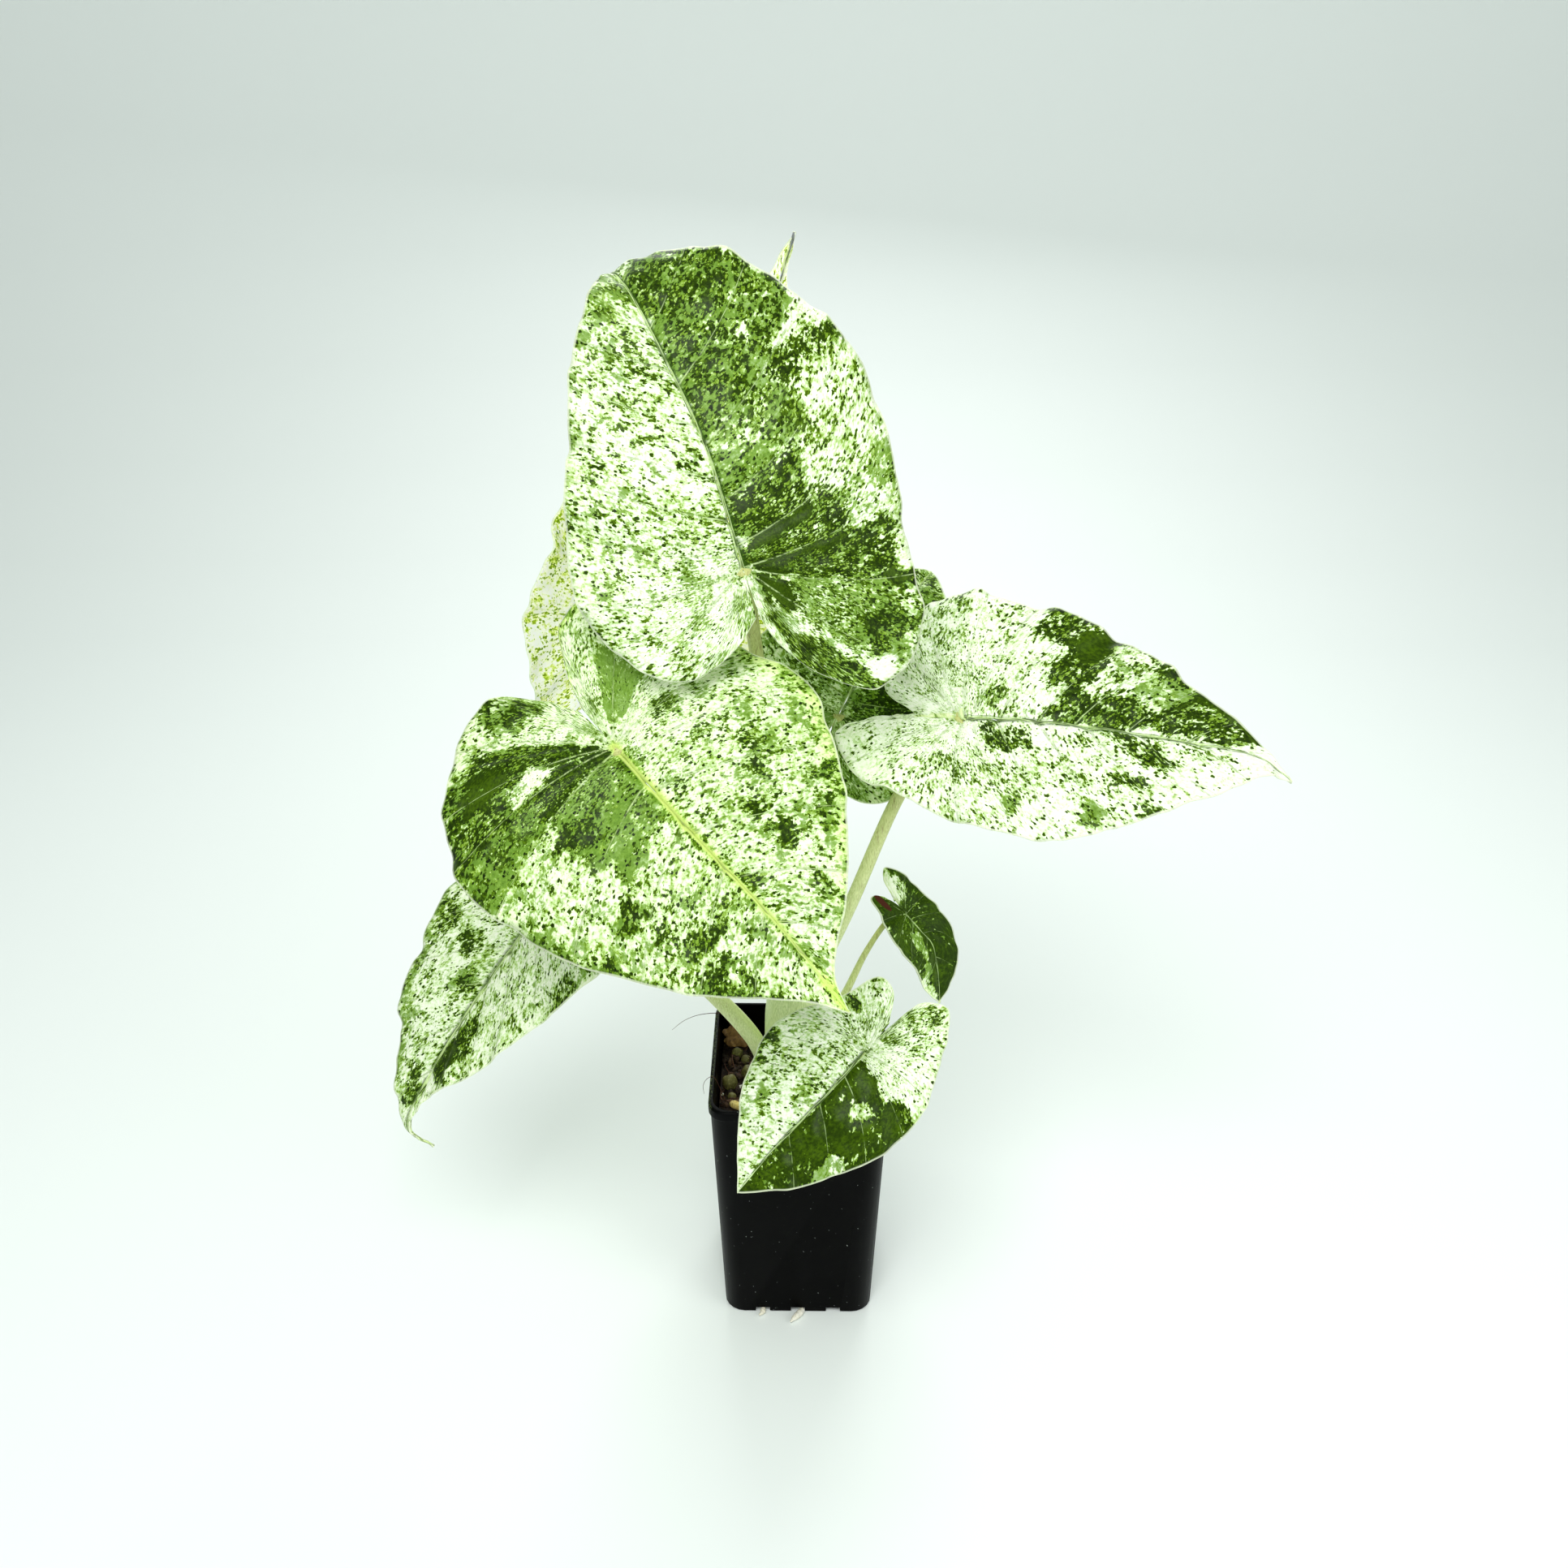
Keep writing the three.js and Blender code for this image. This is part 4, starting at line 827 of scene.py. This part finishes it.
def makeSheaths(materials):    # each stalk's base clasps the stem with two thin wings
    bm = bmesh.new()
    layer = bm.verts.layers.float_vector.new("stalkPlace")
    for order, (leafName, (low, high, facing, half, out)) in enumerate(sheaths.items()):
        line, _ = evenCurve(leaves[leafName]["stalk"]["route"], 80)
        stalkRadius = leaves[leafName]["stalk"]["radius"][0]
        made = bmesh.ops.create_grid(bm, x_segments=44, y_segments=44, size=0.5)
        for vert in made["verts"]:
            side, share = vert.co.x * 2, vert.co.y + 0.5
            height = low + (high - low) * share
            centre = line[0]
            if height > stem["part"]:
                centre = min(line, key=lambda p: abs(p.z - height))
            close = clamp((height - stem["loosen"]) / (high - stem["loosen"]))
            close = close * close * (3 - 2 * close)
            halfX, halfY = radiusAt(height)
            ring = stalkRadius + sheathForm["gap"]
            angle = radians(facing + side * half * (1 - sheathForm["narrow"] * close))
            wave = sheathForm["wave"] * sin(height * 0.35 + order) * abs(side) ** 3
            wide = (halfX + out + wave) * (1 - close) + ring * close
            deep = (halfY + out + wave) * (1 - close) + ring * close
            middle = Vector((*stem["centre"], 0)).lerp(Vector((centre.x, centre.y, 0)), close)
            drop = sheathForm["droop"] * abs(side) ** 2.2 * share ** 3
            vert.co = (middle.x + wide * cos(angle), middle.y + deep * sin(angle), height - drop)
            vert[layer] = (vert.co.x, vert.co.y, stemShare(height))
    closeUp(bm)
    piece = finishPiece("stem_sheaths", bm, materials, "stem")
    return thicken(piece, sheathForm["skin"], offset=0)


def weldedCopy(node):    # a CAD node's mesh, its corners merged
    bm = bmesh.new()
    bm.from_mesh(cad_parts[node].data)
    bmesh.ops.remove_doubles(bm, verts=bm.verts, dist=1e-6)
    return bm


def makePebble(node, seed, materials, slotName, rough, shift=(0, 0, 0)):
    bm = weldedCopy(node)
    bmesh.ops.subdivide_edges(bm, edges=bm.edges, cuts=3, use_grid_fill=True, smooth=0.8)
    low, high = (Vector(corner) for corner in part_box(node))
    middle = (low + high) / 2
    for vert in bm.verts:
        out = vert.co - middle
        bump = noise.noise(out / mm * 0.45 + Vector((seed, 0, 0)))
        fine = noise.noise(out / mm * 1.7 + Vector((0, seed, 0)))
        vert.co = middle + out * (0.97 + rough * (0.1 * bump + 0.035 * fine))
        vert.co += Vector(shift) * mm
    for _ in range(2):
        bmesh.ops.smooth_vert(bm, verts=bm.verts, factor=0.4, use_axis_x=True, use_axis_y=True,
                              use_axis_z=True)
    return finishPiece(f"{node}_grain", bm, materials, slotName, node)


def inPot(x, y, margin):
    half = pot["topWidth"] / 2 - pot["wall"] - margin
    return abs(x) < half and abs(y) < half


def makeCrumbs(materials):    # bits of bark, fibre and perlite that make up the mix
    random.seed(11)
    bm = bmesh.new()
    layer = bm.verts.layers.float.new("tint")
    for crumb in range(soil["crumbs"]):
        size = crumbForm["least"] + crumbForm["more"] * random.random() ** 3
        x, y = (random.uniform(-27, 27) for _ in range(2))
        if not inPot(x, y, size + 0.3) or hypot(x - stem["centre"][0], y) < 9.2:
            continue
        made = bmesh.ops.create_icosphere(bm, radius=1,
                                          subdivisions=1 if size < crumbForm["coarse"] else 2)
        turn = Matrix.Rotation(random.uniform(0, 6.3), 4, "Z") @ Matrix.Rotation(
            random.uniform(0, 6.3), 4, "X")
        flat = Matrix.Diagonal((1.3, 0.8, random.uniform(0.35, 0.8), 1)) * size
        flat[3][3] = 1
        tint = random.random()
        if random.random() < crumbForm["perlite"]:
            tint = 2
        for vert in made["verts"]:
            shake = noise.noise(vert.co * 1.4 + Vector((crumb, 0, 0)))
            vert.co = turn @ flat @ (vert.co * (1 + crumbForm["rough"] * shake))
            vert.co += Vector((x, y, soilHeight(x, y) + size * 0.25))
            vert[layer] = tint
    closeUp(bm)
    return finishPiece("soil_crumbs", bm, materials, "potting_mix")


def makeSoilRoots(materials):    # brown hair roots over the mix, and two over the left rim
    random.seed(23)
    bm = bmesh.new()
    for _ in range(soil["roots"]):
        x, y = (random.uniform(-25, 25) for _ in range(2))
        heading = random.uniform(0, 2 * pi)
        route = []
        for step in range(7):
            if inPot(x, y, 1.2):
                hump = 0.9 * sin(step * 1.3) * random.random()
                route.append([x, y, soilHeight(x, y) + 0.7 + hump])
            heading += random.uniform(-0.7, 0.7)
            x += 2.6 * cos(heading)
            y += 2.6 * sin(heading)
        if len(route) > 2:
            thick = random.uniform(0.1, 0.26)
            addTube(bm, route, [thick, thick, thick * 0.6], 6, 3 * len(route))
    for route in rimHairs:
        addTube(bm, route, [0.14, 0.12, 0.05], 6, 40)
    closeUp(bm)
    return finishPiece("soil_roots", bm, materials, "root")


# Living leaf of alocasia: waxy cuticle over green tissue, cream where cells lack chlorophyll.
upperLook = {
    "roughness": 0.35,
    "shader": {"Specular_IOR_Level": 0.09},
    "layers": [
        {"fleck": (1.9, 1.0), "blotch": 4.2, "cluster": 17, "shares": (0.5, 0.4, 0.14, 0.1),
         "level": 0.59, "soft": 0.022, "shift": (3, 5, 0)},
        {"fleck": (2.2, 1.2), "blotch": 6, "cluster": 26, "shares": (0.4, 0.5, 0.12, 0.13),
         "level": 0.575, "soft": 0.035, "shift": (31, 17, 4)},
        {"fleck": (2.6, 1.1), "blotch": 7, "cluster": 30, "shares": (0.5, 0.38, 0.14, 0.16),
         "level": 0.57, "soft": 0.09, "shift": (57, 41, 9)},
    ],
    "speck": (1.35, 0.78), "speckLevel": 1.72, "chip": (1.25, 0.55), "chipLevel": 1.2,
    "wash": (0.48, 0.6),
    "depths": {"fleck": 0.07, "mottle": 0.8, "deep": 0.17, "mid": -0.02, "midMottle": 0.34,
               "solid": -0.3, "sage": 0.13, "wash": 0.14, "speck": 0.52, "chip": 0.34},
    "grain": 0.4, "greyed": 0.65, "sageColour": "#6b903c",
    "ramp": [(0.15, "#f9fcf0"), (0.23, "#ebf5d9"), (0.33, "#bfdc98"), (0.42, "#90b148"),
             (0.53, "#688b1a"), (0.66, "#466304"), (0.8, "#283e00"), (1, "#111f00")],
    "lime": 1, "limeTint": "#e6f794", "vein": "#cfe8a0", "limeVein": "#cfe27c", "edge": "#eef6d6",
    "scarColour": "#4a2418",
    # Besides the pale veins, the next two lines set the painted shade: how dark the line along the
    # rib, the vein creases and the rib's flanks are, and the colour of that shade.
    "sideVein": 0.6, "veinCreaseShade": 0.5, "mainVein": 0.75, "ribReach": 0.85, "ribStreak": 0.85,
    "ribShade": 0.85, "ribShadeSide": 0.3, "creaseShadeColour": "#2f4d0c",
}

# The same leaf from below: duller and paler, the flecks showing through, with weaker painted shade
# beside the rib and the veins.
lowerLook = dict(
    upperLook, roughness=0.55, mainVein=0.9, ribReach=2.2, ribStreak=0.15, ribShade=0.3,
    sideVein=0.8, veinCreaseShade=0.2, vein="#dcefae", greyed=0.2,
    ramp=[(0.12, "#eef6d2"), (0.24, "#d8eaaa"), (0.42, "#b0ca78"), (0.6, "#8bab54"),
          (0.8, "#6b8e3a"), (1, "#527329")])

# The rear leaf from below with light coming through it: its whiter, yellower ramp is painted light
# shining through the blade, on top of the subsurface scattering, and its flecks are clear.
litLook = dict(
    lowerLook, lime=0.35,
    ramp=[(0.15, "#ffffff"), (0.28, "#fdfff0"), (0.37, "#deefa4"), (0.46, "#a8c63e"),
          (0.62, "#7c9d10"), (0.8, "#567a06"), (1, "#3c5c04")],
    shader={"Specular_IOR_Level": 0.1, "Subsurface_Weight": 0.9,
            "Subsurface_Radius": (1, 1, 0.4), "Subsurface_Scale": 0.003})

stalkLook = {"low": "#f3fcc8", "high": "#cfd487", "streak": "#7c6a34", "pale": "#b9d07c",
             "dull": "#a5ab5e", "roughness": 0.42}


def makeStalkMaterial(name, look):    # smooth wet-looking petiole skin with brown streaks
    material = newMaterial(name, look["roughness"], Specular_IOR_Level=0.45)
    tree = material.node_tree
    share = ramped(split(attribute(tree, "stalkPlace"))[2], 0.1, 0.9)
    longWay = mapped(objectPlace(tree), (1600, 1600, 160))
    fine = noiseAt(longWay, 3, 2)
    colour = mixColours(share, look["low"], look["high"])
    colour = mixColours(ramped(fine, 0.3, 0.75), colour,
                        mixColours(share, look["pale"], look["dull"]))
    streaks = ramped(noiseAt(longWay, 1, 3, 0.6, 0.3), 0.56, 0.7)
    colour = mixColours(product(streaks, share), colour, look["streak"])
    return dress(material, colour, fine, 0.35, 0.15)


def makePotMaterial():    # black injection-moulded polypropylene, satin, a little dusty
    material = newMaterial("mouldedPolypropylene", 0.34, Specular_IOR_Level=0.04)
    place = objectPlace(material.node_tree)
    smear = noiseAt(mapped(place, (60, 60, 12)), 1, 4)
    sides = split(place)
    algae = product(ramped(sides[0], -0.0285, -0.0294), ramped(sides[2], 0.0915, 0.0945),
                    ramped(noiseAt(place, 1400, 3), 0.5, 0.6))
    colour = mixColours(ramped(noiseAt(place, 90, 3), 0.4, 0.7), "#010101", "#030303")
    for share, paint in ((ramped(noiseAt(place, 900, 2), 0.735, 0.76), "#8d9490"),
                         (ramped(smear, 0.55, 0.8, 0.25), "#16181a"), (algae, "#55603c")):
        colour = mixColours(share, colour, paint)
    rough = addNode(smear, "MapRange", {"To Min": 0.28, "To Max": 0.46}, {"Value": smear})
    shader = material.node_tree.nodes["Principled BSDF"]
    material.node_tree.links.new(rough, shader.inputs["Roughness"])
    return dress(material, colour, noiseAt(place, 1600, 2), 0.3, 0.06)


def makeRubbleMaterial(name, roughness, scale, depth, *colours):    # a 4th colour is for tints
    material = newMaterial(name, roughness)
    place = objectPlace(material.node_tree)
    fine = noiseAt(place, scale * 6, 3)
    colour = mixColours(ramped(noiseAt(place, scale, 5, 0.65), 0.35, 0.65), *colours[:2])
    colour = mixColours(ramped(fine, 0.55, 0.7), colour, colours[2])
    if colours[3:]:
        tint = attribute(material.node_tree, "tint", "Fac")
        colour = mixColours(ramped(tint, 0.55, 0.95), colour, colours[3])
        colour = mixColours(ramped(tint, 1.4, 1.6), colour, "#d8d6cc")
    return dress(material, colour, fine, 0.8, depth)


# Damp peat and bark mix, nearly black where wet, and fired clay beads under a film of algae.
pottingMix = makeRubbleMaterial("dampPottingMix", 0.85, 450, 0.5, "#1a100a", "#33200f", "#4b3119",
                                "#5c3d20")
clay = makeRubbleMaterial("firedClay", 0.62, 260, 0.12, "#6f6a30", "#4c4a1e", "#8f8a52")
bark = makeRubbleMaterial("paleBark", 0.75, 300, 0.25, "#f0e09a", "#d9bd62", "#8f7234")
rootSkin = makeRubbleMaterial("freshRoot", 0.5, 300, 0.06, "#eceade", "#dcd8c2", "#c9c2a0")
hairRoot = makeRubbleMaterial("driedHairRoot", 0.8, 400, 0.05, "#3a2013", "#5a3018", "#6f4a2c")
dryLeaf = makeRubbleMaterial("driedSheath", 0.7, 240, 0.2, "#6b4a24", "#8a6534", "#3f2812")

print("stage: leaves")
upperSide = makeBladeMaterial("waxyLeafUpperSide", upperLook)
lowerSide = makeBladeMaterial("leafUnderside", lowerLook)
litSide = makeBladeMaterial("leafUndersideLitThrough", litLook)
slotOf = {"middle": "shaded_leaf", "young": "young_leaf"}
for seed, (leafName, leaf) in enumerate(leaves.items()):
    makeBlade(f"leaf_{leafName}", leaf, seed + 1,
              [upperSide, litSide if leafName == "back" else lowerSide],
              slotOf.get(leafName, "variegated_leaf"), f"blade_{leafName}")

print("stage: stalks and stem")
stalkSkin = makeStalkMaterial("petioleSkin", stalkLook)
stemSkin = makeStalkMaterial("stemSheathSkin", dict(stalkLook, high="#e6f0a8"))
for leafName, leaf in leaves.items():
    makeStalk(f"petiole_{leafName}", leaf, [stalkSkin], f"stalk_{leafName}")
makeStem([stemSkin])
makeSheaths([stemSkin])

print("stage: pot and soil")
shell = weldedCopy("pot")
bmesh.ops.dissolve_limit(shell, angle_limit=radians(1), verts=shell.verts, edges=shell.edges)
potPiece = finishPiece("nursery_pot", shell, [makePotMaterial()], "pot_plastic", "pot")
softEdge = potPiece.modifiers.new("moulded edges", "BEVEL")
softEdge.width = 0.3 * mm
softEdge.segments = 3
softEdge.limit_method = "ANGLE"
softEdge.angle_limit = radians(35)
potPiece.data.set_sharp_from_angle(angle=radians(50))

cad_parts["soil"].material_slots[0].material = pottingMix
makeCrumbs([pottingMix])
makeSoilRoots([hairRoot])
for number in range(1, 15):
    makePebble(f"pebble_{number}", number, [clay], "clay_pebble", 1)
makePebble("bark_chip", 40, [bark], "bark", 1.6, (-2.5, -2.5, 0.8))
makeBlade("dried_scrap", leafScrap, 31, [dryLeaf, dryLeaf], "dry_sheath", "leaf_scrap")
for node, (route, radii) in rootTips.items():
    tip = bmesh.new()
    addTube(tip, route, radii, 14, 40, lambda angle, share: 1 + 0.06 * sin(share * 40))
    closeUp(tip)
    finishPiece(f"{node}_skin", tip, [rootSkin], "root", node)

print("stage: camera and light")
scene = bpy.context.scene
scene.view_settings.view_transform = "Standard"
eye = addObject("camera", bpy.data.cameras.new("camera"), camera["place"])
eye.data.lens = camera["focal"]
eye.data.sensor_width = camera["sensor"]
eye.data.clip_start = 0.01
eye.rotation_euler = (radians(camera["tilt"]), 0, radians(camera["turn"]))
scene.camera = eye

for lampName in ("key", "fill", "back"):
    setting = lights[lampName]
    lamp = addObject(lampName, bpy.data.lights.new(lampName, "AREA"), setting["place"])
    lamp.data.size = setting["size"] * mm
    lamp.data.energy = setting["watts"]
    aim = Vector(setting["aim"]) * mm - lamp.location
    lamp.rotation_euler = aim.to_track_quat("-Z", "Y").to_euler()

world = bpy.data.worlds.new("studio")
world.use_nodes = True
scene.world = world
sky = world.node_tree.nodes["Background"]
sky.inputs["Color"].default_value = linear(lights["sky"]["colour"])
sky.inputs["Strength"].default_value = lights["sky"]["strength"]

paper = newMaterial("matteBackdropPaper", 0.9, Base_Color=linear("#e9efec"))
floorMesh = bmesh.new()
bmesh.ops.create_grid(floorMesh, x_segments=1, y_segments=40, size=0.5)
rear, bend = backdrop["rear"], backdrop["bend"]
arc = pi / 2 * bend
for vert in floorMesh.verts:    # flat, then a quarter round, then straight up
    y, z = backdrop["front"], 0
    y += (vert.co.y + 0.5) * (rear - backdrop["front"] + backdrop["height"])
    past = y - (rear - bend)
    if past > arc:
        y, z = rear, bend + past - arc
    elif past > 0:
        y = rear - bend + bend * sin(past / bend)
        z = bend * (1 - cos(past / bend))
    vert.co = (vert.co.x * 2 * backdrop["halfWidth"] * mm, y * mm, z * mm)
floorData = bpy.data.meshes.new("floor")
floorMesh.to_mesh(floorData)
floorMesh.free()
floorData.materials.append(paper)
floorData.shade_smooth()
addObject("floor", floorData)
